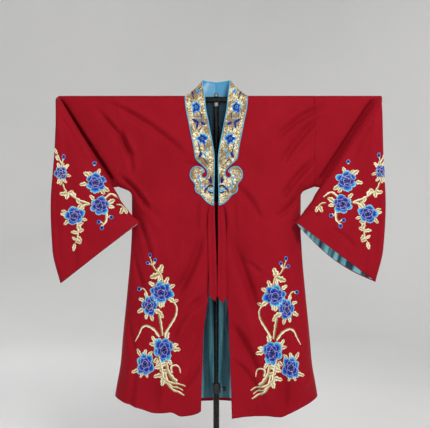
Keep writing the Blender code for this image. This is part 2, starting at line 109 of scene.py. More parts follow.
def bumped(tree, height, strength, distance, under=None):
    """Normal raised by a height, over another normal where one is given."""
    links = {"Height": height, "Strength": strength, "Distance": distance}
    if under is not None:
        links["Normal"] = under
    return node(tree, "Bump", links).outputs[0]


def noise(tree, place, scale, detail=3.0, stretch=(1.0, 1.0, 1.0)):
    """Noise value at a place, finer or coarser along its axes."""
    spread = node(tree, "Mapping", {"Vector": place, "Scale": stretch})
    links = {"Vector": spread.outputs[0], "Scale": scale, "Detail": detail}
    return node(tree, "TexNoise", links).outputs["Fac"]


def finish_of(name, **sockets):
    """New material with its tree, its shader and the shader's own values."""
    made = bpy.data.materials.new(name)
    made.use_nodes = True
    shader = made.node_tree.nodes["Principled BSDF"]
    for key, value in sockets.items():
        shader.inputs[key.replace("_", " ").title().replace("Ior", "IOR")].default_value = value
    return made, made.node_tree, shader


def fed(tree, shader, **sources):
    """Links sockets into a shader's inputs."""
    for key, source in sources.items():
        tree.links.new(source, shader.inputs[key.replace("_", " ").title()])


def object_place(tree):
    """Place on the object's own axes."""
    return node(tree, "TexCoord").outputs["Object"]


plaster, tree, shader = finish_of("pale_plaster", roughness=0.9)
place = object_place(tree)
cloudy = ranged(tree, noise(tree, place, 0.7, 4.0), 0.3, 0.7)
fed(tree, shader, base_color=blended(tree, cloudy, (0.87, 0.87, 0.87), (0.93, 0.93, 0.925)),
    normal=bumped(tree, noise(tree, place, 240.0), 0.15, 0.0005))

profile = [(0.001, 0.0), (1.2, 0.0), (2.4, 0.0)]
for step in range(WALL_STEPS + 1):
    angle = math.radians(90.0 * step / WALL_STEPS)
    profile.append((FLOOR_REACH + WALL_CURVE * math.sin(angle), WALL_CURVE * (1.0 - math.cos(angle))))
profile.append((FLOOR_REACH + WALL_CURVE, WALL_TOP))
ground = bmesh.new()
rings = [[ground.verts.new((r * math.cos(a), r * math.sin(a), z))
          for a in np.linspace(0.0, 2.0 * math.pi, FLOOR_SIDES, endpoint=False)] for r, z in profile]
for inner, outer in zip(rings, rings[1:]):
    for k in range(FLOOR_SIDES):
        ground.faces.new((inner[k], outer[k], outer[(k + 1) % FLOOR_SIDES], inner[(k + 1) % FLOOR_SIDES]))
ground.faces.new(rings[0])
mesh = bpy.data.meshes.new("studio_floor")
ground.to_mesh(mesh)
ground.free()
mesh.shade_smooth()
mesh.materials.append(plaster)
floor = linked("studio_floor", mesh)

for name, spot, target, size, power, tint in LAMPS:
    light = bpy.data.lights.new(name, "AREA")
    light.size = size
    light.energy = power
    light.color = tint
    lamp = linked(name, light)
    lamp.location = spot
    lamp.rotation_euler = (Vector(target) - Vector(spot)).to_track_quat("-Z", "Y").to_euler()
    lamp.visible_camera = False
world = bpy.data.worlds.new("studio_air")
bpy.context.scene.world = world
world.use_nodes = True
world.node_tree.nodes["Background"].inputs["Color"].default_value = (0.96, 0.98, 1.0, 1.0)
world.node_tree.nodes["Background"].inputs["Strength"].default_value = AIR_STRENGTH
bpy.context.scene.view_settings.view_transform = "Standard"

view = bpy.data.cameras.new("camera")
view.lens = CAMERA_LENS
view.clip_end = 60.0
camera = linked("camera", view)
camera.location = CAMERA_PLACE
camera.rotation_euler = (math.radians(90.0), 0.0, 0.0)
bpy.context.scene.camera = camera

# Stand: bent and welded steel tube with baked black enamel, slightly pebbled, on a pressed disc.
# The clamp is moulded plastic, and its screw, the ferrule and the nut over the bar are plated.
ENAMELLED = ("stand_base", "stand_hub", "stand_lower_tube", "stand_upper_tube", "stand_bar")
MOULDED = ("stand_clamp", "clamp_knob", "bar_cap_left", "bar_cap_right")
PLATED = ("clamp_screw", "pole_ferrule", "bar_nut")

enamel, tree, shader = finish_of("black_enamel")
shader.inputs["Specular IOR Level"].default_value = 0.30
place = object_place(tree)
worn = ranged(tree, noise(tree, place, 14.0, 5.0), 0.42, 0.70)
fed(tree, shader, base_color=blended(tree, worn, (0.003, 0.003, 0.004), (0.007, 0.007, 0.008)),
    roughness=ranged(tree, noise(tree, place, 60.0), 0.3, 0.7, 0.20, 0.34),
    normal=bumped(tree, noise(tree, place, 900.0, 2.0), 0.3, 0.0002))

moulded, tree, shader = finish_of("black_plastic")
place = object_place(tree)
rubbed = ranged(tree, noise(tree, place, 120.0), 0.35, 0.75)
ribs = node(tree, "TexWave", {"Vector": place, "Scale": 95.0, "Distortion": 0.4}, bands_direction="Z")
fed(tree, shader, base_color=blended(tree, rubbed, (0.011, 0.011, 0.012), (0.026, 0.026, 0.027)),
    roughness=ranged(tree, rubbed, 0.0, 1.0, 0.42, 0.58),
    normal=bumped(tree, ribs.outputs["Fac"], 0.2, 0.0003))

plated, tree, shader = finish_of("plated_steel", metallic=1.0)
hazy = ranged(tree, noise(tree, object_place(tree), 180.0), 0.35, 0.7)
fed(tree, shader, base_color=blended(tree, hazy, (0.36, 0.36, 0.37), (0.24, 0.24, 0.25)),
    roughness=ranged(tree, hazy, 0.0, 1.0, 0.28, 0.42))

for names, surface in ((ENAMELLED, enamel), (MOULDED, moulded), (PLATED, plated)):
    for name in names:
        for material_slot in NODES[name].material_slots:
            material_slot.material = surface

# Back: one width of dull red satin that lies over the bar at the shoulders, is cut out at the neck,
# and hangs in long uneven folds. Its sides are sewn to the fronts from the underarm to the hem.
BAR_HEIGHT = 1.450
CLOTH = 0.0014
OVER_BAR = 0.0135
SLEEVE_SEAM = 0.3580
SLEEVE_DEPTH = 0.0170
SEAM_GAP = 0.00012
SEAM_CALM = 0.030
BESIDE_FOLD = 1.5
BESIDE_SHARE = 0.4
FOLD_START = (-0.15, 0.25)
FOLD_END = (0.80, 1.15)
ARM_BESIDE = 0.15
ARM_BELOW = (0.25, 0.45)
UNDERARM = (0.345, 0.410)
SEAM_TURN = 0.05
SEAM_TURN_LOWER = 0.07
SEAM_PULL = 0.0006
SEAM_PULL_AT = 0.006
SEAM_PULL_REACH = 0.003
WARP = (2100.0, 70.0, 1.0)
WEFT = (110.0, 1900.0, 1.0)
HEM_START = 1.039
HEM_LEVEL = 1.12
HEM_HALF_WIDTH = 0.371
NECK_SHARE = 0.195
BACK_COLUMNS = 105
FRONT_COLUMNS = 58
BACK_SEED = 11
FRONT_SEED = 20
PUCKER_SEED = 40


def metres(table):
    """Table stated in millimetres, in metres."""
    if isinstance(table, dict):
        return {side: metres(rows) for side, rows in table.items()}
    return tuple(map(metres, table)) if isinstance(table, tuple) else table / 1000.0


# Side outline: drop below the bar, half width of the robe
SIDE = metres((
    (0, 358), (316, 358), (326, 336), (334, 318), (350, 308), (465, 307.7), (549, 311.3), (710, 325),
    (882, 341.7), (958, 348), (1039, 362), (1094, 371),
))
# Hems of the back and of each front: distance from the middle, drop below the bar
BACK_HEM = metres((
    (0, 1122), (54, 1124), (120, 1131), (190, 1121), (250, 1124), (320, 1098), (371, 1077),
))
FRONT_HEM = metres({
    -1: (
        (50, 1110), (66, 1122), (124, 1132), (163, 1117), (212, 1120), (265, 1107), (313, 1094),
        (371, 1077),
    ),
    1: ((54, 1140), (110, 1133), (172, 1130), (225, 1135), (262, 1121), (303, 1103), (371, 1077),),
})
# Hang: drop below the bar, distance of the cloth from the bar's axis
DEPTH = metres(((0, 13.5), (100, 30), (300, 48), (600, 66), (900, 84), (1140, 94)))
# Folds: upper x, upper drop, lower x, lower drop, half width, rise away from the bar, bow
BACK_FOLDS = metres((
    (-250, 420, -235, 1140, 26, 9, 4), (-150, 560, -110, 1140, 24, -10, -6),
    (20, 480, 10, 1140, 28, 9, 4), (125, 620, 150, 1140, 24, -10, -4), (240, 400, 265, 1140, 26, 10, 5),
    (-350, 40, -120, 230, 16, -8.5, 14), (-345, 150, -210, 350, 13, -8, -8),
    (-320, 300, -190, 440, 12, -9.5, 10), (352, 55, 170, 200, 15, -8.5, -10),
    (348, 180, 220, 370, 13, -8.5, 9), (308, 330, 180, 450, 12, -9, -8),
    (-180, 300, -190, 760, 13, -6, 10), (75, 250, 60, 700, 15, 5.5, -8), (190, 480, 205, 980, 13, -7, 8),
    (-60, 640, -50, 1100, 14, 6, 6), (-300, 640, -310, 1090, 12, -6, -6), (310, 560, 325, 1080, 13, 6, 6),
    (-90, 20, -120, 150, 10, 4, 0), (85, 20, 120, 130, 10, 3.6, 0), (-310, 626, 310, 628, 3, 1.8, 0),
    (156, 60, 158, 620, 3, 1.6, 0),
))


def smooth(low, high, value):
    """Share of the way from low to high, with soft ends."""
    share = np.clip((value - low) / (high - low), 0.0, 1.0)
    return share * share * (3.0 - 2.0 * share)


def through(keys, values, key):
    """Values at keys between stated ones, on curves that don't overshoot."""
    keys, values = np.asarray(keys, float), np.asarray(values, float)
    gaps = np.diff(keys).reshape((-1,) + (1,) * (values.ndim - 1))
    slopes = np.diff(values, axis=0) / gaps
    same = slopes[:-1] * slopes[1:] > 0.0
    before, after = np.where(same, slopes[:-1], 1.0), np.where(same, slopes[1:], 1.0)
    wide, narrow = 2.0 * gaps[1:] + gaps[:-1], gaps[1:] + 2.0 * gaps[:-1]
    lean = np.zeros_like(values)
    lean[1:-1] = np.where(same, (wide + narrow) / (wide / before + narrow / after), 0.0)
    lean[0], lean[-1] = slopes[0], slopes[-1]
    key = np.clip(np.asarray(key, float), keys[0], keys[-1])
    span = np.clip(np.searchsorted(keys, key, side="right") - 1, 0, len(keys) - 2)
    gap = gaps[span] if values.ndim > 1 else gaps.ravel()[span]
    t = (key - keys[span]) / gaps.ravel()[span]
    t = t.reshape(t.shape + (1,) * (values.ndim - 1))
    return ((1 + 2 * t) * (1 - t) ** 2 * values[span] + t * (1 - t) ** 2 * gap * lean[span]
            + t * t * (3 - 2 * t) * values[span + 1] + t * t * (t - 1) * gap * lean[span + 1])


def read(table, key, column=1):
    """Values of a table's column at keys of its first one."""
    return through([row[0] for row in table], [row[column] for row in table], key)


def unit(steps):
    """Steps made one metre long."""
    return steps / np.linalg.norm(steps, axis=-1, keepdims=True)


def reach_of(points):
    """How far along a way each of its points lies."""
    return np.concatenate([[0.0], np.cumsum(np.linalg.norm(np.diff(points, axis=0), axis=-1))])


side_drops = np.linspace(0.316, 1.140, 220)
side_places = np.stack([read(SIDE, side_drops), side_drops], axis=-1)


def seam_distance(x, drop):
    """Distance from the side and underarm seam, measured on the flat outline."""
    flat = np.stack([np.abs(x), drop], axis=-1).reshape(-1, 1, 2)
    start, step = side_places[:-1], np.diff(side_places, axis=0)
    share = np.clip(((flat - start) * step).sum(axis=-1) / (step * step).sum(axis=-1), 0.0, 1.0)
    away = np.linalg.norm(flat - start - share[..., None] * step, axis=-1)
    return away.min(axis=1).reshape(np.shape(x))


def fold_rise(folds, x, drop, beside_share=BESIDE_SHARE):
    """Height of the folds at places of a sheet, each with a lower one beside it and soft ends."""
    rise = np.zeros(np.shape(x))
    for x_a, drop_a, x_b, drop_b, half_width, height, bow in folds:
        along_x, along_d = x_b - x_a, drop_b - drop_a
        length = math.hypot(along_x, along_d)
        share = ((x - x_a) * along_x + (drop - drop_a) * along_d) / length**2
        across = ((x - x_a) * along_d - (drop - drop_a) * along_x) / length
        across = across - bow * 4.0 * share * (1.0 - share)
        inside = smooth(*FOLD_START, share) * (1.0 - smooth(*FOLD_END, share))
        trough = np.exp(-((across / half_width) ** 2))
        beside = np.exp(-((across / half_width - BESIDE_FOLD) ** 2))
        rise += height * inside * (trough - beside_share * beside)
    return rise


def ripples(x, drop, seed, height=0.0004):
    """Faint unevenness of cloth that hangs free."""
    chance = np.random.RandomState(seed)
    rise = np.zeros(np.shape(x))
    for _ in range(9):
        turn = chance.uniform(-0.9, 0.9)
        length = chance.uniform(0.05, 0.17)
        start = chance.uniform(0.0, 6.28)
        rise += height * np.sin(6.2832 * (x * math.cos(turn) + drop * math.sin(turn)) / length + start)
    return rise


def hang(x, drop, folds, seed):
    """Distance of the hanging cloth from the bar's plane, nothing at the seam and full inside it."""
    distance = np.abs(x)
    full = read(DEPTH, drop)
    beside_arm = smooth(ARM_BESIDE, SLEEVE_SEAM, distance) * (1.0 - smooth(*ARM_BELOW, drop))
    full = np.where(full > SLEEVE_DEPTH, full + (SLEEVE_DEPTH - full) * beside_arm, full)
    reach = SEAM_TURN + SEAM_TURN_LOWER * smooth(*UNDERARM, drop)
    away = seam_distance(x, drop)
    inside = 1.0 - np.clip(away / reach, 0.0, 1.0)
    turn = np.sqrt(1.0 - inside * inside)
    rise = fold_rise(folds, x, drop) * smooth(0.0, SEAM_CALM, SLEEVE_SEAM - distance)
    rise += ripples(x, drop, seed) * smooth(0.0, 0.10, drop)
    by_stitches = np.exp(-(((away - SEAM_PULL_AT) / SEAM_PULL_REACH) ** 2))
    pulled = SEAM_PULL * by_stitches * np.sin(drop * 310.0 + x * 90.0)
    return full * turn + (rise + pulled) * turn


def reworked(mesh, *changes):
    """Changes a mesh by functions that each take it as an open one."""
    opened = bmesh.new()
    opened.from_mesh(mesh)
    for change in changes:
        change(opened)
    opened.to_mesh(mesh)
    opened.free()


def unused_left_out(opened):
    """Takes away the points that no face uses."""
    bmesh.ops.delete(opened, geom=[v for v in opened.verts if not v.link_faces], context="VERTS")


def turned_out(opened):
    """Turns all faces outward."""
    bmesh.ops.recalc_face_normals(opened, faces=opened.faces)


def quads_of(rows, columns, spans):
    """Corners of the faces in a grid of points, which closes round where it has a span per column."""
    i, j = np.meshgrid(np.arange(rows - 1), np.arange(spans), indexing="ij")
    k = (j + 1) % columns
    upper, lower = i * columns, (i + 1) * columns
    return np.stack([upper + j, upper + k, lower + k, lower + j], axis=-1)


def mesh_of(name, points, corners, map_name=None, flat=None):
    """Mesh of points and faces, with the flat places of the faces' corners as UV map."""
    mesh = bpy.data.meshes.new(name)
    mesh.from_pydata(points.tolist(), [], corners)
    if map_name:
        mesh.uv_layers.new(name=map_name).data.foreach_set("uv", flat.reshape(-1).astype(np.float32))
    return mesh


def flat_places(down, across):
    """Flat places of the rows and columns of a sheet, by how far they lie down it and across it."""
    return np.stack(np.meshgrid(down, across, indexing="ij"), axis=-1)


def sheet(name, grid, flat, outward=None, closed=False, left_out=None):
    """Mesh through a grid of points, with its flat pattern as UV map and its face turned outward."""
    rows, columns = grid.shape[:2]
    spans = columns if closed else columns - 1
    i, j = np.meshgrid(np.arange(rows - 1), np.arange(spans), indexing="ij")
    after = np.minimum(j + 1, flat.shape[1] - 1)
    corners = quads_of(rows, columns, spans)
    shares = np.stack([flat[i, j], flat[i, after], flat[i + 1, after], flat[i + 1, j]], axis=-2)
    kept = ~left_out if left_out is not None else np.ones(i.shape, bool)
    corners, shares = corners[kept], shares[kept]
    points = grid.reshape(-1, 3)[corners]
    faced = np.cross(points[:, 2] - points[:, 0], points[:, 3] - points[:, 1])
    off_middle = points.mean(axis=1) - grid.mean(axis=1)[corners[:, 0] // columns]
    if (faced * (np.array(outward) if outward else off_middle)).sum() < 0.0:
        corners, shares = corners[:, ::-1], shares[:, ::-1]
    mesh = mesh_of(name, grid.reshape(-1, 3), corners.tolist(), "cloth", shares)
    if left_out is not None:
        reworked(mesh, unused_left_out)
    mesh.shade_smooth()
    return linked(name, mesh)


def two_faced(made, outer, inner, thickness):
    """Gives a sheet its thickness, its outer cloth and the cloth of its other face."""
    made.data.materials.append(outer)
    made.data.materials.append(inner)
    wall = made.modifiers.new("wall", "SOLIDIFY")
    wall.thickness = thickness
    wall.offset = 0.0
    wall.use_even_offset = False
    wall.material_offset = 1


def satin(name, dark, light, roughness, streaks, sheen, gleam=(1.0, 1.0, 1.0), dye_and_sheen_stretch=(7.0, 7.0, 1.0),
          ior=1.5, painted_shade_to=None):
    """Satin weave: long warp floats, crossing weft, small slubs and a colour noise, which is uneven dyeing
    when it is round and painted streaks of sheen when it is stretched lengthwise. Where a drop is given,
    painted shade darkens the cloth above it.
    """
    made, tree, shader = finish_of(name, sheen_weight=sheen, sheen_roughness=0.45, ior=ior)
    shader.inputs["Specular Tint"].default_value = (*gleam, 1.0)
    place = node(tree, "UVMap", uv_map="cloth").outputs["UV"]
    warp = noise(tree, place, 1.0, 2.0, WARP)
    weft = noise(tree, place, 1.0, 2.0, WEFT)
    least, most = (0.44, 0.57) if painted_shade_to else (0.30, 0.72)
    # Colour noise: uneven dyeing where it is round, painted streaks of sheen where it is stretched
    # lengthwise.
    dyed = ranged(tree, noise(tree, place, 1.0, 4.0, dye_and_sheen_stretch), least, most)
    if painted_shade_to:
        # Painted shade: the cloth darkens towards its top, above the given drop.
        drop = node(tree, "SeparateXYZ", {0: place}).outputs[1]
        painted_top_shade = ranged(tree, drop, 0.5 * painted_shade_to, painted_shade_to, -0.85, 0.12)
        dyed = calculated(tree, "ADD", dyed, painted_top_shade, use_clamp=True)
    threads = calculated(tree, "ADD", warp, weft)
    shade = blended(tree, ranged(tree, threads, 0.7, 1.3), (0.86, 0.86, 0.86), (1.10, 1.10, 1.10))
    crumpled = noise(tree, place, 1.0, 4.0, (streaks, streaks * 0.22, 1.0))
    fed(tree, shader, base_color=blended(tree, 1.0, blended(tree, dyed, dark, light), shade, "MULTIPLY"),
        roughness=ranged(tree, threads, 0.7, 1.3, roughness - 0.05, roughness + 0.06),
        normal=bumped(tree, crumpled, 0.5, 0.0022, bumped(tree, threads, 0.35, 0.00015)))
    return made


red = satin("red_satin", (0.284, 0.0078, 0.0160), (0.326, 0.0095, 0.0195), roughness=0.46, streaks=26.0,
            sheen=0.0, gleam=(1.0, 0.10, 0.14), ior=1.10)
# Lining colour runs from painted deep shade to painted sheen in painted lengthwise streaks, with painted
# shade darkening it towards the neck.
turquoise = satin("turquoise_satin", (0.002, 0.036, 0.075), (0.330, 0.880, 1.000), roughness=0.26,
                  streaks=44.0, sheen=0.0, gleam=(0.75, 0.95, 1.0), dye_and_sheen_stretch=(30.0, 1.4, 1.0), painted_shade_to=0.80)

bar_turn = np.radians(np.linspace(0.0, 90.0, 10)[:-1])
drops = np.concatenate([np.arange(0.0, 0.300, 0.0058), np.arange(0.300, 0.362, 0.0030),
                        np.arange(0.362, HEM_START, 0.0066)])
to_hem = np.linspace(0.0, 1.0, 16)


def panel_places(edges, sides, hem, hem_x, shares):
    """Places x and drop of a panel's rows from beside the bar's top to its hem."""
    rows_x, rows_drop = [], []
    for drop in drops:
        rows_x.append(edges(drop) + (sides(drop) - edges(drop)) * shares)
        rows_drop.append(np.full(len(shares), drop))
    for share in to_hem:
        drop = HEM_START + (read(hem, np.abs(hem_x)) - HEM_START) * share
        rows_x.append(edges(drop) + (sides(drop) - edges(drop)) * shares)
        rows_drop.append(drop)
    return np.array(rows_x), np.array(rows_drop)


def with_rows_over_bar(top_x, x, away, drop):
    """Adds a panel's rows over the bar: places across, distances from the bar's plane, drops."""
    over_x = np.tile(top_x, (len(bar_turn), 1))
    over_away = np.maximum(OVER_BAR * np.sin(bar_turn), SEAM_GAP)[:, None] + 0.0 * over_x
    over_drop = (-OVER_BAR * np.cos(bar_turn))[:, None] + 0.0 * over_x
    return [np.concatenate(rows) for rows in ((over_x, x), (over_away, away), (over_drop, drop))]


half_shares = np.sin(0.5 * np.pi * np.linspace(-1.0, 1.0, BACK_COLUMNS))
x, drop = panel_places(lambda d: 0.0 * d, lambda d: read(SIDE, d), BACK_HEM, HEM_HALF_WIDTH * half_shares,
                       half_shares)
behind = np.maximum(hang(x, drop, BACK_FOLDS, BACK_SEED), SEAM_GAP)
x, behind, drop = with_rows_over_bar(SLEEVE_SEAM * half_shares, x, behind, drop)
back_grid = np.stack([x, behind, BAR_HEIGHT - drop], axis=-1)
neck = np.zeros((back_grid.shape[0] - 1, back_grid.shape[1] - 1), bool)
neck[:len(bar_turn)] = np.abs(0.5 * (half_shares[1:] + half_shares[:-1]))[None, :] < NECK_SHARE
back = sheet("robe_back", back_grid, np.stack([x, drop], axis=-1), (0, 1, 0), left_out=neck)
two_faced(back, red, red, CLOTH)
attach(back, "robe")
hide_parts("back")

# Back lining: turquoise satin, glossier than the shell, hung free inside the back from just below
# the bar. It is turned up a finger's width above the red hem, so that the hem shows under it.
LINING = 0.0008
LINING_SET = 0.0021
LINING_SHORT = 0.012
LINING_FORWARD = 0.0036
LINING_FLAT_SIDE = 0.03
LINING_FOLDS = metres((
    (-28, 300, -38, 1120, 9.5, 7, 4), (-4, 420, -10, 1120, 8, -4, -4), (18, 380, 26, 1120, 8.5, 6.6, -3),
    (46, 300, 50, 1120, 10, -4, 3), (-85, 350, -80, 1120, 12, -3.6, 3), (98, 500, 110, 1120, 12, 3.8, -3),
    (-160, 420, -170, 1110, 16, 4, 4), (175, 460, 180, 1110, 15, -4, 4), (-10, 700, -12, 1120, 6, 2.8, 2),
    (30, 860, 36, 1120, 5.5, 3, 2),
))
start = len(bar_turn) - 3
wide = slice(8, -8)
lining_x, lining_drop = x[start:, wide].copy(), drop[start:, wide].copy()
hem_share = smooth(0.95, HEM_LEVEL, lining_drop)
lining_drop -= LINING_SHORT * hem_share
facing = unit(np.cross(np.gradient(back_grid, axis=1), np.gradient(back_grid, axis=0)))
facing *= -np.sign(np.median(facing[..., 1]))
lining_grid = (back_grid + facing * LINING_SET)[start:, wide]
lining_grid[..., 2] += LINING_SHORT * hem_share
from_side = SLEEVE_SEAM - np.abs(lining_x) - LINING_FLAT_SIDE
free = smooth(0.03, 0.20, lining_drop) * smooth(0.0, 0.05, from_side)
folded = fold_rise(LINING_FOLDS, lining_x, lining_drop) + LINING_FORWARD
lining_grid[..., 1] -= np.maximum(folded, 0.0) * free
lining = sheet("robe_back_lining", lining_grid, np.stack([lining_x, lining_drop], axis=-1), (0, -1, 0))
two_faced(lining, turquoise, turquoise, LINING)
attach(lining, "robe")
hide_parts("back_lining")

# Fronts: two panels of the same red satin, laid over the bar and open down the middle. They carry
# the press creases of storage, and soft pulls that run from the armholes to the collar's points.
FRONT_EDGE = metres((
    (0, 60), (90, 33), (162, 19), (209, 14), (277, 14), (360, 20), (405, 30), (479, 34.5), (619, 38.5),
    (763, 42.5), (943, 49), (1134, 54.5),
))
# The edges under the ties: drop, how far they lie nearer to the middle
EDGE_IN = metres({
    -1: (
        (0, 0), (370, 0), (405, 11), (480, 15), (600, 17), (660, 11.5), (700, 11.5), (770, 6), (840, 0),
        (1140, 0),
    ),
    1: ((0, 0), (370, 0), (405, 11), (480, 13), (640, 13), (730, 4), (780, 0), (1140, 0),),
})
# How far the fronts hang back behind the ties at a drop, and how they come forward beside them
UNDER_TIE = metres(((386, 1), (405, 6), (450, 9), (520, 5), (600, 4), (660, 7), (735, 5)))
TIE_REACH = 0.029
OUT_FROM_TIE = {-1: 0.8, 1: 1.3}
TIE_HOLLOW = {-1: 1.0, 1: 1.9}
FRONT_FOLDS = metres((
    (45, 480, 150, 720, 28, -10, 0), (56, 640, 140, 860, 30, 10, 0), (60, 800, 130, 990, 32, -12, 0),
    (300, 420, 270, 700, 24, -9, 0), (330, 760, 300, 1060, 28, 10, 0), (120, 900, 200, 1120, 36, 11, 0),
))
PULL_DEPTH = 4.0
PRESSED_DEPTH = 2.0
TIES_FROM = (0.380, 0.392)
TIES_TO = (0.715, 0.770)
PULLS = metres({
    -1: (
        (-380, 20, -120, 200, 13, -3.4, 14), (-425, 50, -300, 215, 11, -3, 6),
        (-350, 110, -305, 260, 10, -2.6, 4), (-345, 285, -245, 400, 10, -3.8, 8),
        (-330, 330, -200, 480, 14, 1.6, 6), (-150, 64, -118, 30, 7, -1.6, 0),
        (-118, 230, -58, 243, 7, -1.6, 0), (-280, 440, -236, 580, 12, -3, 4),
        (-52, 500, -132, 690, 12, -3.6, 8), (-30, 710, -155, 860, 13, -3.6, -22),
        (-38, 880, -124, 1040, 13, -3.6, 10), (-302, 570, -262, 680, 10, -2.4, 0),
        (-320, 780, -294, 900, 10, -2.4, 0), (-200, 880, -190, 1110, 14, 1.6, 5),
        (-290, 960, -310, 1110, 12, -2.6, 4), (-180, 500, -170, 620, 16, 1, 0),
        (-64, 370, -70, 470, 6, -2.2, 0),
    ),
    1: (
        (380, 30, 225, 138, 12, -3.6, -10), (360, 80, 240, 230, 12, -3.4, -6),
        (350, 225, 240, 355, 11, -3.8, -4), (316, 330, 222, 430, 11, -3.4, 6),
        (330, 380, 260, 450, 10, 1.6, 0), (300, 420, 285, 560, 10, -2.4, 4),
        (78, 320, 155, 430, 12, -2.8, 6), (165, -4, 172, 40, 6, -0.4, 0), (188, -4, 190, 30, 6, 0.4, 0),
        (211, -4, 204, 35, 6, -0.4, 0), (66, 540, 154, 830, 13, -3.8, 10), (52, 610, 170, 840, 12, 1, 12),
        (100, 585, 162, 630, 8, -2.2, 4), (54, 810, 148, 990, 13, -3.8, 10),
        (56, 935, 162, 1075, 13, -3.4, 12), (262, 1075, 360, 990, 13, 2.2, 4),
        (300, 640, 312, 860, 13, -2.4, 4), (240, 900, 236, 1100, 14, -2.6, 5),
        (64, 380, 72, 480, 6, -2, 0),
    ),
})
PRESSED = metres({
    -1: ((-300, 626, -40, 628, 3, 0.8, 0), (-157, 160, -156, 620, 2.8, 0.6, 0),),
    1: ((154, 100, 154, 600, 2.8, 1, 0), (40, 628, 310, 625, 3, 0.9, 0),),
})


def front_forward(side, x, drop):
    """Distance of a front's cloth from the bar's plane, with its folds, pulls and press creases."""
    fade = smooth(0.0, 0.030, seam_distance(x, drop))
    pulled = PULL_DEPTH * fold_rise(PULLS[side], side * x, drop)
    pulled = pulled + PRESSED_DEPTH * fold_rise(PRESSED[side], side * x, drop)
    return hang(x, drop, FRONT_FOLDS, FRONT_SEED + side) + pulled * fade


front_shares = np.sin(0.5 * np.pi * np.linspace(0.0, 1.0, FRONT_COLUMNS))
front_grids, fronts = {}, {}
for name, side in (("left", -1), ("right", 1)):
    hem_edge = read(FRONT_EDGE, HEM_LEVEL)
    hem_x = hem_edge + (HEM_HALF_WIDTH - hem_edge) * front_shares
    x, drop = panel_places(lambda d: read(FRONT_EDGE, d) - read(EDGE_IN[side], d), lambda d: read(SIDE, d),
                           FRONT_HEM[side], hem_x, front_shares)
    chance = np.random.RandomState(PUCKER_SEED + side)
    puckers = np.zeros_like(x)
    for place in np.cumsum(chance.uniform(0.018, 0.050, 9)) + 0.05:
        height = chance.uniform(-0.0026, 0.0026)
        pucker = height * np.exp(-(((x - place) / chance.uniform(0.006, 0.012)) ** 2))
        puckers += pucker * smooth(chance.uniform(0.98, 1.06), HEM_LEVEL, drop)
    puckers *= smooth(0.0, 0.030, seam_distance(x, drop))
    forward = np.maximum(front_forward(side, x, drop) + puckers, SEAM_GAP)
    beneath = read(DEPTH, drop) - TIE_HOLLOW[side] * read(UNDER_TIE, drop)
    beneath += OUT_FROM_TIE[side] * np.maximum(x - TIE_REACH, 0.0)
    by_ties = smooth(*TIES_FROM, drop) * (1.0 - smooth(*TIES_TO, drop))
    forward += (np.minimum(forward, beneath) - forward) * by_ties
    edge = float(read(FRONT_EDGE, 0.0))
    x, forward, drop = with_rows_over_bar(edge + (SLEEVE_SEAM - edge) * front_shares, x, forward, drop)
    grid = np.stack([side * x, -forward, BAR_HEIGHT - drop], axis=-1)
    front = sheet(f"robe_front_{name}", grid, np.stack([side * x, drop], axis=-1), (0, -1, 0))
    two_faced(front, red, turquoise, CLOTH)
    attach(front, "robe")
    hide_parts(f"front_{name}")
    front_grids[side], fronts[side] = grid, front

# Sleeves: wide straight tubes of the red satin with the shoulder fold on the bar. Past the bar's tip
# each one folds back on itself and droops forward as a flap, so that its cuff hangs aslant in front.
SLEEVE_SEED = 60
FLAP_SEED = 70
FLAP_DEPTH = 1.6
BACK_LAYER_SHARE = -0.7
# Sections from the armhole to the cuff, in metres: upper end's x and drop, lower end's x and drop,
# place to the rear, half depth, rounding of the upper and the lower end, turn in degrees
SLEEVE_SECTIONS = (
    (0.3564, -0.0118, 0.3564, 0.316, 0.000, 0.0153, 0.016, 0.050, 0),
    (0.3605, -0.0134, 0.3605, 0.318, 0.000, 0.0168, 0.016, 0.050, 0),
    (0.4200, -0.0135, 0.4200, 0.322, 0.000, 0.0165, 0.016, 0.050, 0),
    (0.5000, -0.0135, 0.5000, 0.328, 0.000, 0.0155, 0.016, 0.050, 0),
    (0.5680, -0.0135, 0.5560, 0.334, 0.000, 0.0140, 0.014, 0.040, 0),
    (0.5880, -0.0120, 0.5800, 0.342, -0.016, 0.0040, 0.014, 0.030, 90),
    (0.5860, -0.0080, 0.4900, 0.350, -0.033, 0.0040, 0.014, 0.030, 180),
    (0.5810, -0.0020, 0.3500, 0.362, -0.047, 0.0040, 0.014, 0.030, 90),
    (0.5850, 0.0300, 0.3410, 0.374, -0.058, 0.0060, 0.014, 0.030, 0),
    (0.5930, 0.1900, 0.3180, 0.402, -0.060, 0.0120, 0.016, 0.045, 0),
    (0.6040, 0.3850, 0.3020, 0.424, -0.061, 0.0180, 0.020, 0.060, 0),
    (0.5960, 0.5400, 0.2900, 0.438, -0.058, 0.0230, 0.024, 0.070, 0),
    (0.5680, 0.6590, 0.2820, 0.446, -0.056, 0.0260, 0.026, 0.080, 0),
)
CUFF_SAG = {-1: -0.002, 1: 0.030}
# How far each section's outer edge lies from the stated one, on the left and on the right
OUTER_MOVED = metres({
    -1: (0, 0, 0, 0, 3, -9, -13, -15, -15, -15, -13, -11, -11,),
    1: (0, 0, 0, 0, 8, 10, 9, 9, 7, 3, 0, 0, 0,),
})
CORNER_MOVED = {-1: -0.009, 1: 0.0}
TIP_DROOP = {-1: 0.006, 1: 0.001}
CUFF_LINING_SECTIONS = 3
CUFF_LINING_SET = 0.0018
CUFF_HEM_SHARE = 0.55
SECTION_STEPS = (2, 12, 20, 20, 7, 7, 8, 6, 20, 22, 18, 16)
# Deep crease in the arm beside the flap's slanted edge, stated like the back's folds
BEHIND_FLAP = metres({
    -1: ((-578, -10, -360, 322, 6.5, -25, 0),),
    1: ((578, -10, 360, 322, 6.5, -25, 0),),
})
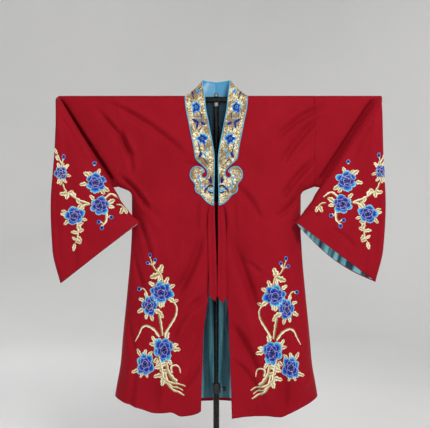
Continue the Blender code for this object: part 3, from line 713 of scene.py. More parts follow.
# Folds of the flap and of the part beside the robe, stated like the back's folds
FLAP_FOLDS = metres({
    -1: (
        (-574, 40, -548, 250, 10, 2.4, 4), (-560, 60, -470, 230, 14, -2.6, 6),
        (-585, 300, -560, 600, 12, -2.4, 6), (-540, 330, -470, 600, 16, 2.6, 8),
        (-420, 330, -330, 430, 12, -2.6, 5), (-480, 470, -380, 450, 13, 2, 4),
        (-520, 460, -500, 620, 12, -2, 4),
    ),
    1: (
        (572, 50, 552, 270, 11, 2.2, -4), (555, 70, 480, 240, 14, -2.4, -5),
        (410, 470, 495, 545, 10, -3, 8), (325, 400, 362, 425, 7, -2.2, 0),
        (588, 320, 566, 590, 12, -2.4, -5), (530, 340, 480, 560, 16, 2.4, -6),
        (540, 480, 515, 640, 12, -2, 4),
    ),
})


def sleeve_rings(side, shares):
    """Rings of points of the sections, down the front layer and up the back layer."""
    rings = []
    for index, section in enumerate(SLEEVE_SECTIONS):
        top_x, top_drop, low_x, low_drop, middle_y, half_depth, top_round, low_round, turn = section
        top_x += OUTER_MOVED[side][index]
        top_drop += TIP_DROOP[side] * smooth(4.0, 5.0, index)
        low_x += CORNER_MOVED[side] * smooth(9.0, 12.0, index)
        past = max(0, index - len(SLEEVE_SECTIONS) + CUFF_LINING_SECTIONS)
        sag = CUFF_SAG[side] * past / (CUFF_LINING_SECTIONS - 1)
        length = math.hypot(low_x - top_x, low_drop - top_drop)
        down_x, down_d = (low_x - top_x) / length, (low_drop - top_drop) / length
        angle = math.radians(turn)
        facing = (-math.sin(angle) * down_d, -math.cos(angle), math.sin(angle) * down_x)
        both = np.concatenate([shares, shares[-2:0:-1]])
        layer = np.concatenate([np.ones(len(shares)), -np.ones(len(shares) - 2)])
        along = length * both
        upper = 1.0 - np.clip(along / top_round, 0.0, 1.0)
        lower = 1.0 - np.clip((length - along) / low_round, 0.0, 1.0)
        away = half_depth * np.sqrt(1.0 - upper**2) * np.sqrt(1.0 - lower**2)
        hung = np.where(layer < 0, sag * np.sin(np.pi * both), 0.0)
        rings.append(np.stack([
            side * (top_x + down_x * along + facing[0] * layer * away),
            middle_y + facing[1] * layer * away,
            BAR_HEIGHT - (top_drop + down_d * along + facing[2] * layer * away + hung),
        ], axis=-1))
    return np.array(rings)


def between(rings, steps):
    """Rings filled in between the stated ones, and how far along the tube each one lies."""
    reach = np.concatenate([[0.0], np.cumsum(np.linalg.norm(np.diff(rings, axis=0), axis=-1).mean(axis=1))])
    places = [np.linspace(a, b, n, endpoint=False) for a, b, n in zip(reach, reach[1:], steps)]
    places = np.concatenate(places + [reach[-1:]])
    return through(reach, rings, places), places


turned = 0.5 - 0.5 * np.cos(np.pi * np.linspace(0.0, 1.0, 13))
ring_shares = np.concatenate([0.10 * turned[:7], np.linspace(0.06, 0.90, 66),
                              1.0 - 0.09 * (1.0 - turned[6:])])
half_ring = len(ring_shares)
sleeves, sleeve_grids = {}, {}
for name, side in (("left", -1), ("right", 1)):
    rings = sleeve_rings(side, ring_shares)
    grid, reach = between(rings, SECTION_STEPS)
    front_half = np.arange(grid.shape[1]) < half_ring
    arm = np.arange(grid.shape[0]) < sum(SECTION_STEPS[:4])
    flap = np.arange(grid.shape[0]) > sum(SECTION_STEPS[:8])
    x, drop = grid[..., 0], BAR_HEIGHT - grid[..., 2]
    share = np.concatenate([ring_shares, ring_shares[-2:0:-1]])[None, :] + 0.0 * x
    inside = smooth(0.0, 0.10, share) * smooth(0.0, 0.12, 1.0 - share)
    pull = PULL_DEPTH * fold_rise(PULLS[side], x, drop)
    pull = (pull + ripples(x, drop, SLEEVE_SEED + side)) * arm[:, None]
    crease = fold_rise(BEHIND_FLAP[side], x, drop, 0.0) * arm[:, None] * front_half
    droop = FLAP_DEPTH * fold_rise(FLAP_FOLDS[side], x, drop)
    droop = (droop + ripples(x, drop, FLAP_SEED + side)) * flap[:, None]
    by_seam = smooth(0.0, SEAM_CALM, side * x - SLEEVE_SEAM)
    layer_share = np.where(front_half, 1.0, BACK_LAYER_SHARE * by_seam)
    grid[..., 1] -= (layer_share * (pull + droop) + crease) * inside
    girth = reach_of(grid[-1])
    sleeve = sheet(f"robe_sleeve_{name}", grid, flat_places(reach, girth)[..., ::-1], closed=True)
    two_faced(sleeve, red, red, CLOTH)
    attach(sleeve, "robe")
    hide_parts(f"sleeve_{name}")
    sleeves[side], sleeve_grids[side] = sleeve, grid

    # Cuff lining: turquoise satin facing sewn inside the sleeve's end, seen where the cuff falls open.
    around = np.roll(grid, -1, axis=1) - np.roll(grid, 1, axis=1)
    facing = unit(np.cross(around, np.gradient(grid, axis=0)))
    facing *= np.sign((facing * (grid.mean(axis=1, keepdims=True) - grid)).sum())
    last = slice(sum(SECTION_STEPS[:10]), None)
    inner = (grid + facing * CUFF_LINING_SET)[last]
    inner[-1] += CUFF_HEM_SHARE * (inner[-2] - inner[-1])
    facing_cloth = sheet(f"robe_cuff_lining_{name}", inner, flat_places(reach[last], girth)[..., ::-1],
                         closed=True)
    two_faced(facing_cloth, turquoise, turquoise, LINING)
    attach(facing_cloth, "robe")
    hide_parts(f"cuff_lining_{name}")

# Collar: a stiff band of gold couched thread on an interlining. Each half runs from a cloud-shaped
# end on its front to the back of the neck, where the halves are joined. It is sewn flat on the
# fronts and faced inside with blue satin.
COLLAR = 0.0020
COLLAR_LIFT = 0.5 * CLOTH + 0.0003 + 0.5 * COLLAR
PIPING_RADIUS = 0.0018
PIPING_LIFT = 0.5 * CLOTH + 0.0004 + PIPING_RADIUS
NECK_ROW_STEP = 0.028
# Way round the neck from the shoulder to the middle of the back: outer x, y, rise, inner x, y, rise
NECK_RUN = metres((
    (114.8, -16.3, 0, 40, -16.3, 0), (113.5, -13, 9.5, 44, -12.5, 37), (108.5, 2, 16.5, 48, 1, 63),
    (99, 16.5, 14, 49, 17, 76.5), (84, 20.5, 1, 44, 33, 77), (48, 21.5, -8, 26, 42, 74.5),
    (0, 22, -10, 0, 45, 71.5),
))
NECK_END = -NECK_ROW_STEP * (len(NECK_RUN) - 1)
# Outline on the front, outer edge first: distance from the middle, drop below the bar
COLLAR_OUTLINE = metres((
    (114.8, 0), (101, 85), (84, 170), (76.7, 214), (68, 228), (54, 240), (42.8, 251), (35, 261),
    (32.8, 272), (35.5, 282), (43.6, 287), (51.5, 282), (50, 273), (41.5, 267), (43.2, 260), (49, 253),
    (57.6, 248), (68.8, 245), (80.3, 248), (90, 257), (95, 271), (94.3, 286), (87.1, 299), (78.5, 309),
    (76.6, 318), (77.8, 327), (73.4, 339), (63, 346), (53.5, 353), (45.4, 364), (34.9, 375), (22.7, 383),
    (11.5, 387), (8, 380), (7.2, 330), (6, 277), (6, 209), (12.5, 162), (26, 92), (40, 0),
))
OUTLINE_STEP = 0.0016
FILL_STEP = 0.0042
FILL_CLEAR = 0.0024
FILL_OUT = (0.008, 0.115)
FILL_DOWN = (NECK_END + 0.004, 0.388)


def along(points, step):
    """Points at even steps on a smooth curve through the stated ones, from the first to the last."""
    points = np.asarray(points, float)
    ends = np.concatenate([2.0 * points[:1] - points[1:2], points, 2.0 * points[-1:] - points[-2:-1]])
    curve = []
    for a, b, c, d in zip(ends, ends[1:], ends[2:], ends[3:]):
        t = np.linspace(0.0, 1.0, max(2, int(np.linalg.norm(c - b) / step * 3.0)), endpoint=False)[:, None]
        curve.append(0.5 * (2.0 * b + (c - a) * t + (2.0 * a - 5.0 * b + 4.0 * c - d) * t**2
                            + (3.0 * b - 3.0 * c + d - a) * t**3))
    curve = np.concatenate(curve + [points[-1:]])
    reach = reach_of(curve)
    places = np.linspace(0.0, reach[-1], max(3, round(reach[-1] / step) + 1))
    return np.stack([np.interp(places, reach, curve[:, k]) for k in range(curve.shape[1])], axis=-1)


def collar_outline(inset):
    """Flat outline of the collar half from the back of the neck round the cloud and back, moved in."""
    stated = [(NECK_RUN[0][0], NECK_END), *COLLAR_OUTLINE, (NECK_RUN[0][3], NECK_END)]
    outline = along(stated, OUTLINE_STEP)
    ahead = unit(np.gradient(outline, axis=0))
    moved = outline + inset * np.stack([-ahead[:, 1], ahead[:, 0]], axis=-1)
    clear = np.linalg.norm(moved[:, None] - outline[None], axis=-1).min(axis=1) > inset * 0.97
    moved = along(moved[clear], 2.0 * OUTLINE_STEP)
    moved[[0, -1], 1] = NECK_END
    return moved


def collar_place(side, flat, lift):
    """Points of the collar half: on its front below the bar, and round the neck above it."""
    x, drop = flat[:, 0], flat[:, 1]
    low = np.stack([x, -(front_forward(side, x, np.maximum(drop, 0.0)) + lift), -drop], axis=-1)
    run = np.clip(-drop / NECK_ROW_STEP, 0.0, len(NECK_RUN) - 1.0)
    here = through(range(len(NECK_RUN)), NECK_RUN, run)
    share = ((NECK_RUN[0][0] - x) / (NECK_RUN[0][0] - NECK_RUN[0][3]))[:, None]
    high = here[:, :3] + (here[:, 3:] - here[:, :3]) * share
    mixed = np.where((drop > 0.0)[:, None], low, high)
    mixed[:, 0] *= side
    mixed[:, 2] += BAR_HEIGHT
    return mixed


def brocade(name):
    """Gold thread couched in short patches that each lie their own way, each with its own tone, with painted
    sheen over broad areas and brown in the gaps.
    """
    made, tree, shader = finish_of(name, metallic=0.28, sheen_weight=0.12, sheen_roughness=0.3)
    flat = node(tree, "UVMap", uv_map="cloth").outputs["UV"]
    stray = node(tree, "TexNoise", {"Vector": flat, "Scale": 150.0, "Detail": 2.0}).outputs["Color"]
    moved = node(tree, "VectorMath", {0: stray, 1: (0.5, 0.5, 0.5)}, operation="SUBTRACT").outputs[0]
    moved = node(tree, "VectorMath", {0: moved, "Scale": 0.010}, operation="SCALE").outputs[0]
    place = node(tree, "VectorMath", {0: flat, 1: moved}).outputs[0]
    patches = node(tree, "TexVoronoi", {"Vector": place, "Scale": 210.0})
    chance = node(tree, "SeparateColor", {0: patches.outputs["Color"]})
    angle = calculated(tree, "MULTIPLY", chance.outputs[0], 3.14)
    turned_place = node(tree, "VectorRotate", {"Vector": flat, "Angle": angle}, rotation_type="Z_AXIS")
    waves = {"Vector": turned_place.outputs[0], "Scale": 330.0, "Distortion": 1.2}
    thread = node(tree, "TexWave", waves).outputs["Fac"]
    edge = ranged(tree, patches.outputs["Distance"], 0.30, 0.62, 1.0, 0.35)
    # Painted sheen: broad areas of the gold are made lighter or darker, as if the threads caught the light.
    painted_sheen_patches = ranged(tree, noise(tree, flat, 19.0, 4.0), 0.40, 0.56)
    share = node(tree, "Math", {0: chance.outputs[1], 1: painted_sheen_patches, 2: 0.22}, operation="MULTIPLY_ADD")
    lit = calculated(tree, "MULTIPLY", share.outputs[0], edge)
    # Gold from brown to cream by each patch's tone, the painted sheen and the brown gaps.
    gold = blended(tree, ranged(tree, lit, 0.16, 0.62), (0.235, 0.140, 0.055), (0.94, 0.88, 0.58))
    shade = blended(tree, thread, (0.74, 0.72, 0.68), (1.10, 1.10, 1.10))
    fed(tree, shader, base_color=blended(tree, 1.0, gold, shade, "MULTIPLY"),
        roughness=ranged(tree, thread, 0.0, 1.0, 0.52, 0.34),
        normal=bumped(tree, edge, 0.5, 0.0006, bumped(tree, thread, 0.45, 0.0004)))
    return made


gold_ground = brocade("gold_brocade")
collar_blue = satin("collar_facing_satin", (0.045, 0.235, 0.450), (0.110, 0.430, 0.680), roughness=0.36,
                    streaks=120.0, sheen=0.05)
piping_satin = satin("piping_satin", (0.045, 0.370, 0.630), (0.100, 0.520, 0.780), roughness=0.36,
                     streaks=60.0, sheen=0.05)

collar_points, collar_faces, collar_flat = [], [], []
for side in (-1, 1):
    outline = collar_outline(1.3 * PIPING_RADIUS)
    count = len(outline)
    inner_x, inner_drop = np.meshgrid(np.arange(*FILL_OUT, FILL_STEP), np.arange(*FILL_DOWN, FILL_STEP))
    fill = np.stack([inner_x.ravel(), inner_drop.ravel()], axis=-1)
    clear = np.linalg.norm(fill[:, None] - outline[None], axis=-1).min(axis=1) > FILL_CLEAR
    crossings = np.zeros(len(fill), int)
    for a, b in zip(outline, np.roll(outline, -1, axis=0)):
        between_ends = (a[1] > fill[:, 1]) != (b[1] > fill[:, 1])
        reach_x = a[0] + (fill[:, 1] - a[1]) * (b[0] - a[0]) / (b[1] - a[1] if b[1] != a[1] else 1.0)
        crossings += between_ends & (fill[:, 0] < reach_x)
    fill = fill[clear & (crossings % 2 == 1)]
    places = [Vector(p) for p in np.concatenate([outline, fill]).tolist()]
    edges = [(k, (k + 1) % count) for k in range(count)]
    filled = delaunay_2d_cdt(places, edges, [], 1, 1e-7)
    flat = np.array([(p.x, p.y) for p in filled[0]])
    start = sum(len(part) for part in collar_points)
    collar_points.append(collar_place(side, flat, COLLAR_LIFT))
    collar_flat.append(flat * (side, 1.0))
    order = 1 if side > 0 else -1
    collar_faces += [tuple(start + k for k in face[::order]) for face in filled[2]]
points, flat = np.concatenate(collar_points), np.concatenate(collar_flat)
mesh = mesh_of("robe_collar", points, collar_faces, "cloth", flat[np.concatenate(collar_faces)])


def joined(opened):
    """Joins points that lie on each other."""
    bmesh.ops.remove_doubles(opened, verts=opened.verts, dist=1e-5)


def faced_front(opened):
    """Turns the faces round where the lowest one looks back."""
    lowest = min(opened.faces, key=lambda face: face.calc_center_median().z)
    if lowest.normal.y > 0.0:
        bmesh.ops.reverse_faces(opened, faces=opened.faces)


reworked(mesh, joined, turned_out, faced_front)
mesh.shade_smooth()
collar = linked("robe_collar", mesh)
two_faced(collar, gold_ground, collar_blue, COLLAR)
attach(collar, "robe")
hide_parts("collar")

# Collar piping: a cord in a bias strip of light turquoise satin, sewn all round the collar's edge.
PIPING_SIDES = 8
PIPING_LENGTH = 2.2
PIPING_GIRTH = 0.0113


def tube(points, radius, sides=6, closed=False):
    """Grid of points round a path, for cords and couched threads, without twist along the path."""
    points = np.asarray(points, float)
    ahead = np.roll(points, -1, axis=0) - np.roll(points, 1, axis=0)
    if not closed:
        ahead[0], ahead[-1] = points[1] - points[0], points[-1] - points[-2]
    ahead, front = unit(ahead), np.array((0.0, -1.0, 0.0))
    up = unit(front - ahead * (ahead @ front)[:, None] + 1e-6)
    aside = np.cross(ahead, up)
    turns = np.linspace(0.0, 2.0 * np.pi, sides, endpoint=False)
    radius = np.broadcast_to(radius, len(points))[:, None, None]
    return points[:, None] + radius * (up[:, None] * np.cos(turns)[None, :, None]
                                       + aside[:, None] * np.sin(turns)[None, :, None])


outline = collar_outline(PIPING_RADIUS)
halves = {side: collar_place(side, outline, PIPING_LIFT) for side in (-1, 1)}
path = np.concatenate([halves[-1], halves[1][::-1][1:-1]])
ring = tube(path, PIPING_RADIUS, PIPING_SIDES, closed=True)
ring = np.concatenate([ring, ring[:1]])
reach = np.append(reach_of(path), PIPING_LENGTH)
flat = flat_places(reach, np.linspace(0.0, PIPING_GIRTH, PIPING_SIDES))
piping = sheet("robe_collar_piping", ring, flat, closed=True)
reworked(piping.data, joined, turned_out)
piping.data.shade_smooth()
piping.data.materials.append(piping_satin)
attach(piping, "robe")
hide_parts("collar_piping")

# Ties: two long straps of the robe's red satin, cut on the straight and folded double, sewn in
# under the collar's points. They hang in pressed lengthwise folds and end in a slanted point.
TIE_CLOTH = 0.0012
TIE_SET = 0.0012
TIE_EDGE_SET = 0.0009
TIE_COLUMNS = 25
TIE_LEVELS = 90
TIE_SEED = 90
TIE_FACE = 0.0002
TIE_POINT = 0.022
TIE_LONGER = {-1: -0.005, 1: 0.000}
TIE_NARROWER = {-1: 0.0055, 1: 0.0}
TIE_SHIFT = 0.0030
TIE_SEWN_IN = 0.0020
TIE_SEWN = (0.386, 0.410)
TIE_SWAYS = (0.38, 0.60)
TIE_NARROWS = (0.45, 0.70)
TIE_END_FROM = 0.86
TIE_EDGE_WIDTH = 0.05
TIE_TIP = {-1: 0.22, 1: 0.52}
# Drop below the bar, inner and outer edge
TIE_ROWS = metres((
    (374, 5, 19.5), (400, 5.5, 27.5), (450, 5, 31.5), (560, 3, 34.5), (640, 1.4, 35), (712, 0.8, 35),
))
# Lengthwise folds: share across at the top and at the end, half width of the share, rise to the front
TIE_FOLDS = {
    -1: ((0.30, 0.22, 0.09, 0.0012), (0.56, 0.50, 0.10, -0.0011), (0.82, 0.80, 0.08, 0.0010)),
    1: ((0.24, 0.18, 0.08, -0.0010), (0.46, 0.52, 0.10, 0.0013), (0.76, 0.82, 0.09, -0.0010)),
}

for name, side in (("left", -1), ("right", 1)):
    share = np.linspace(0.0, 1.0, TIE_COLUMNS)[None, :]
    below = np.linspace(0.0, 1.0, TIE_LEVELS)[:, None]
    end = TIE_ROWS[-1][0] + TIE_LONGER[side]
    drop = TIE_ROWS[0][0] + (end - TIE_ROWS[0][0]) * below + 0.0 * share
    tip = TIE_TIP[side]
    blunt = TIE_POINT * np.minimum(share / tip, (1.0 - share) / (1.0 - tip))
    drop += blunt * smooth(TIE_END_FROM, 1.0, below)
    inner, outer = read(TIE_ROWS, drop), read(TIE_ROWS, drop, 2)
    outer = outer - TIE_NARROWER[side] * smooth(*TIE_NARROWS, drop)
    x = inner + (outer - inner) * share
    rise = np.zeros_like(x)
    for top, low, width, height in TIE_FOLDS[side]:
        across = (share - top - (low - top) * below) / width
        rise += height * np.exp(-across**2) * smooth(0.0, 0.08, below)
    rise += ripples(x, drop, TIE_SEED + side, 0.00012)
    edge = np.exp(-((share / TIE_EDGE_WIDTH) ** 2)) + np.exp(-(((1.0 - share) / TIE_EDGE_WIDTH) ** 2))
    sewn_in = TIE_SEWN_IN * (1.0 - smooth(*TIE_SEWN, drop))
    y = -(read(DEPTH, drop) + TIE_FACE + TIE_SET + rise - TIE_EDGE_SET * edge - sewn_in)
    x = side * x + TIE_SHIFT * smooth(*TIE_SWAYS, drop)
    grid = np.stack([x, y, BAR_HEIGHT - drop], axis=-1)
    tie = sheet(f"robe_tie_{name}", grid, np.stack([x, drop], axis=-1), (0, -1, 0))
    two_faced(tie, red, red, TIE_CLOTH)
    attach(tie, "robe")
    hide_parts(f"tie_{name}")

# Embroidery: peony sprays worked in untwisted silk on the fronts, the sleeves' flaps and the collar.
# Petals are long-and-short stitches from deep blue to pale cyan, leaves and stems are golden silk
# in slanted satin stitch, and a fine couched gold thread is laid round them.
FLOSS_LIFT = 0.0003
EVEN_CLOTH = 0.006
LEAST_FACING = 0.35
PETAL_TURN = 11.0
PETAL_TONE = 0.07
LEAF_TURN = 16.0
LEAF_ROOT = 0.84
PETAL_ROOT = 0.06
FLOSS_DOME = 0.0007
COUCHED = 0.00042
COUCHED_SIDES = 5
STEM_STEP = 0.0030
COUCHED_STEP = 0.0028
SPRAY_SEED = 7
COLLAR_SEED = 5
COLLAR_LEAF_WIDER = 1.45
COLLAR_LINE_WIDER = 1.4
COLLAR_LEAF_TONE = -0.42

# Peonies: out from the middle, drop, half width, half height, turn, outer petals, leaves round it;
# each leaf's place round the flower (0 is outward, 90 up), length and width. Millimetres and degrees.
SPRAY_PEONIES = (
    (197, 697, 40, 38, 80, 6, ((48, 25, 18), (115, 29, 19), (150, 23, 18), (217, 27, 21), (257, 20, 16),
                               (274, 23, 19))),
    (238, 744, 26, 37, 60, 6, ((69, 23, 16), (33, 22, 16), (339, 27, 19), (292, 19, 15), (258, 25, 16),
                               (207, 32, 23))),
    (186, 899, 37, 47, 100, 6, ((107, 27, 20), (41, 30, 17), (24, 24, 17), (158, 24, 17), (176, 28, 20),
                                (315, 22, 19), (239, 22, 18), (293, 23, 18))),
    (252, 950, 30, 39, 75, 6, ((57, 31, 15), (88, 21, 16), (119, 22, 16), (326, 31, 17), (295, 18, 12),
                               (258, 16, 11))),
)
FLAP_PEONIES = (
    (428, 306, 38, 34, 98, 6, ((45, 27, 21), (64, 18, 14), (98, 23, 16), (354, 26, 18), (213, 26, 19),
                               (238, 22, 18))),
    (414, 389, 37, 33, 100, 6, ((51, 23, 16), (164, 28, 22), (188, 21, 16))),
    (502, 423, 34, 31, 85, 5, ((111, 25, 16), (135, 21, 15), (24, 23, 14), (2, 23, 13), (324, 23, 16),
                               (207, 19, 14))),
    (551, 273, 22, 23, 60, 6, ((287, 21, 14), (267, 23, 13), (247, 21, 13), (126, 23, 16), (192, 18, 13),
                               (77, 21, 15), (100, 19, 13))),
)
# Stems: width at the start and the end, points on the way, leaves beside it (share along it, the way
# it points, length, width)
SPRAY_STEMS = (
    (4.5, 8, ((237, 574), (229, 596), (218, 616), (204, 627), (195, 641), (191, 660)),
     ((0.25, 150, 14, 9), (0.60, 118, 31, 24), (0.62, 170, 17, 14), (0.70, 340, 38, 27),
      (0.76, 295, 24, 17))),
    (4.5, 6, ((220, 587), (225, 595), (228, 600)), ()),
    (4, 5, ((240, 594), (233, 598), (228, 602)), ()),
    (4, 7, ((271, 684), (260, 685), (251, 696), (250, 713)), ()),
    (11, 8, ((204, 769), (197, 809), (191, 849)), ((0.02, 222, 22, 16), (0.0, 30, 20, 15))),
    (6.5, 9, ((152, 730), (141, 751), (145, 780), (164, 813), (184, 844)), ((0.0, 160, 19, 15),)),
    (11, 4, ((201, 853), (218, 830), (235, 818), (251, 814), (265, 823), (275, 845), (288, 870)), ()),
    (11, 16, ((177, 941), (171, 971), (156, 994), (140, 1009)), ()),
    (8.5, 4, ((155, 978), (158, 958), (145, 951), (132, 960), (127, 980)), ()),
    (12, 6, ((186, 997), (164, 1011), (135, 1017), (109, 1029)), ()),
    (7, 5, ((182, 1008), (158, 1024), (137, 1030), (118, 1042)), ((0.7, 40, 10, 7),)),
    (10, 6, ((173, 1014), (152, 1037), (135, 1045), (114, 1058)), ((0.6, 30, 12, 8),)),
    (7, 11.5, ((203, 913), (197, 943), (191, 970), (187, 994)),
     ((0.45, 160, 24, 19), (0.55, 344, 26, 20), (0.70, 190, 22, 17), (0.80, 60, 20, 16), (0.88, 344, 35, 20),
      (0.98, 278, 31, 23), (1.0, 240, 24, 16))),
    (8.5, 7, ((180, 977), (174, 1001), (157, 1026)), ()),
)
FLAP_STEMS = (
    (7, 9, ((528, 343), (507, 356), (487, 369), (453, 380)),
     ((0.0, 278, 23, 19), (0.0, 356, 28, 20), (0.04, 150, 20, 15), (0.40, 56, 33, 20), (0.42, 210, 18, 13),
      (0.45, 240, 21, 16))),
    (6, 7, ((546, 309), (540, 327), (531, 341)), ()),
    (9, 9, ((485, 402), (467, 387), (448, 382)), ()),
    (9, 6, ((396, 362), (373, 347), (346, 363)), ()),
    (11, 6, ((389, 412), (391, 442), (404, 460)), ()),
    (6, 4, ((390, 426), (381, 430), (374, 429)), ()),
    (5, 4, ((397, 451), (406, 447), (412, 447)), ()),
    (7, 4, ((494, 447), (490, 478), (493, 505), (501, 522)),
     ((0.10, 240, 25, 19), (0.12, 160, 23, 16), (0.42, 160, 22, 16), (0.50, 8, 26, 16), (0.66, 230, 22, 17),
      (0.82, 30, 20, 14), (0.85, 210, 20, 16), (1.0, 282, 28, 17))),
    (5, 7, ((565, 205), (557, 226), (548, 243)), ((0.0, 68, 24, 12), (0.55, 50, 23, 14))),
    (4, 4, ((543, 220), (547, 231), (550, 240)), ()),
    (5, 7, ((355, 384), (338, 387), (328, 398)), ((0.85, 292, 26, 18), (0.95, 240, 25, 16))),
)
# Buds: out from the middle, drop, half width, half height, the way they point
SPRAY_BUDS = ((237, 565, 5, 7, 90), (218, 582, 5, 6, 130), (245, 593, 6, 5, 30), (276, 686, 6, 6, 10))
FLAP_BUDS = ((543, 215, 5, 8, 100), (435, 237, 6, 6, 90), (372, 429, 6, 6, 220), (416, 446, 6, 6, 350),
             (405, 466, 6, 7, 270))
# The sprays of the right side lie further out than those of the left, lower on the front and a
# little higher on the sleeve: step outward and step down, in metres
SPRAY_SHIFT = {("front", -1): (0.0, 0.0), ("front", 1): (0.012, 0.012), ("sleeve", -1): (0.0, 0.0),
               ("sleeve", 1): (0.035, -0.006)}
# Rings of petals: how many fewer than the first has but never under three, reach, half spread as a
# share of the step round, rise in metres, tone, turn ahead in degrees
FULL_FLOWER = ((0, 1.10, 0.54, 0.0, 0.03, 0.0), (1, 0.72, 0.58, 0.0006, -0.10, 32.0),
               (4, 0.40, 0.62, 0.0012, -0.16, 10.0))
COLLAR_FLOWER = ((0, 1.08, 0.43, 0.0, 0.09, 0.0), (1, 0.66, 0.40, 0.0005, -0.26, 36.0),
                 (4, 0.30, 0.50, 0.0010, 0.10, 80.0))
# Collar: small peonies, single blue leaves (out, drop, length, width, way, shade from navy to pale
# cyan), and worked lines (width at the start and the end, shade, points)
COLLAR_PEONIES = ((73, 30, 20, 24, 96, 5, ()), (51, 146, 20, 22, 62, 6, ()))
COLLAR_LEAVES = (
    (58, -23, 21, 9, 52, 0.75), (75, -31, 12, 7, 160, 0.90), (82, -14, 20, 7, 64, 0.20),
    (72, -19, 14, 6, 120, 0.60), (62, 89, 31, 12, 30, 0.25), (71, 73, 19, 5, 168, 0.95),
    (57, 84, 22, 13, 210, 0.30), (67, 86, 24, 10, 278, 0.20), (53, 194, 25, 12, 294, 0.25),
    (49, 197, 23, 9, 232, 0.85), (39, 193, 18, 7, 150, 0.90), (60, 181, 14, 5, 50, 0.80),
    (18, 309, 27, 10, 84, 0.12), (59, 117, 12, 5, 100, 0.30), (22, 303, 14, 6, 60, 0.08),
)
COLLAR_LINES = (
    (1.8, 3, 0.05, ((94, -18), (86, -12), (80, 1))), (2, 3, 0.05, ((62, 45), (55, 56), (55, 72))),
    (1.8, 3, 0.05, ((65, 161), (60, 182), (57, 197))), (3, 1.5, 0.05, ((49, 216), (39, 228), (30, 240))),
    (1.8, 2, 0.05, ((80, 48), (82, 61))), (2.5, 4, 0.90, ((72, 276), (59, 296), (57, 315))),
    (2.5, 4.5, 0.92, ((64, 331), (52, 320), (35, 321))), (5, 2, 0.45, ((31, 325), (39, 330), (43, 343))),
    (4.5, 4.5, 0.15, ((33, 322), (20, 315), (10, 320))), (6, 5, 0.95, ((31, 328), (18, 333), (9, 331))),
    (4, 3.5, 0.10, ((28, 336), (18, 342), (9, 338))), (2, 2, 0.35, ((52, 151), (42, 169), (43, 182))),
)


def floss(name, steps):
    """Silk floss: colour from the stitches' root to their edge, single threads, and painted sheen in lighter
    and darker stripes along them.
    """
    made, tree, shader = finish_of(name)
    shader.inputs["Specular IOR Level"].default_value = 0.22
    reach = node(tree, "Attribute", attribute_name="reach").outputs["Fac"]
    tone = node(tree, "Attribute", attribute_name="tone").outputs["Fac"]
    threads = node(tree, "UVMap", uv_map="threads").outputs["UV"]
    stripes = noise(tree, threads, 1.0, 2.0, (2600.0, 120.0, 1.0))
    patchy = ranged(tree, noise(tree, threads, 1.0, 2.0, (700.0, 90.0, 1.0)), 0.25, 0.75, -0.20, 0.20)
    moved = calculated(tree, "ADD", calculated(tree, "ADD", reach, patchy), tone)
    ramp = node(tree, "ValToRGB", {"Fac": moved})
    ramp.color_ramp.elements.remove(ramp.color_ramp.elements[1])
    for number, (place, colour) in enumerate(steps):
        stop = ramp.color_ramp.elements[0] if number == 0 else ramp.color_ramp.elements.new(place)
        stop.position = place
        stop.color = (*colour, 1.0)
    # Painted sheen: the colour is made lighter and darker in stripes along the threads.
    lit = blended(tree, ranged(tree, stripes, 0.3, 0.7), (0.74, 0.74, 0.74), (1.16, 1.16, 1.16))
    fed(tree, shader, base_color=blended(tree, 1.0, ramp.outputs["Color"], lit, "MULTIPLY"),
        roughness=ranged(tree, stripes, 0.3, 0.7, 0.48, 0.34), normal=bumped(tree, stripes, 0.6, 0.0004))
    return made


blue_silk = floss("blue_silk_floss", (
    (0.12, (0.002, 0.003, 0.055)), (0.50, (0.003, 0.008, 0.210)), (0.76, (0.004, 0.032, 0.430)),
    (0.89, (0.015, 0.230, 0.700)), (0.99, (0.130, 0.640, 0.860))))
gold_silk = floss("golden_silk_floss", (
    (0.02, (0.210, 0.140, 0.050)), (0.33, (0.440, 0.340, 0.150)), (0.58, (0.880, 0.820, 0.540)),
    (0.92, (1.000, 0.980, 0.780))))
gold_thread, tree, shader = finish_of("couched_gold_thread", metallic=0.45, roughness=0.38)
twist = node(tree, "TexWave", {"Vector": object_place(tree), "Scale": 420.0}).outputs["Fac"]
fed(tree, shader, base_color=blended(tree, twist, (0.62, 0.46, 0.24), (0.95, 0.84, 0.60)))


def aim(way):
    """Unit step out and down for a way given in degrees from outward, counted upward."""
    return np.array((math.cos(math.radians(way)), -math.sin(math.radians(way))))


def petal(root, way, spread, size, lobes, lift, tone):
    """Fan of stitches from its root to a scalloped edge, and that edge."""
    reach, across = np.meshgrid(np.linspace(0.0, 1.0, 8), np.linspace(-1.0, 1.0, 13), indexing="ij")
    edge = (1.0 - 0.30 * np.abs(across) ** 2.8) * (1.0 + 0.05 * np.cos(np.pi * lobes * across))
    turn = np.radians(way + spread * across)
    flat = np.stack([np.cos(turn), -np.sin(turn)], axis=-1) * (reach * edge)[..., None] * size + root
    dome = FLOSS_DOME * np.sin(0.5 * np.pi * (1.0 - np.abs(across) ** 3))
    rise = lift + dome * np.sqrt(np.sin(np.pi * reach * 0.9))
    threads = np.stack([across * np.radians(spread) * size[0], reach * size[1]], axis=-1)
    outline = np.concatenate([flat[3:, 0], flat[-1, 1:-1], flat[3:, -1][::-1]])
    return (flat, rise, reach, tone, threads), outline


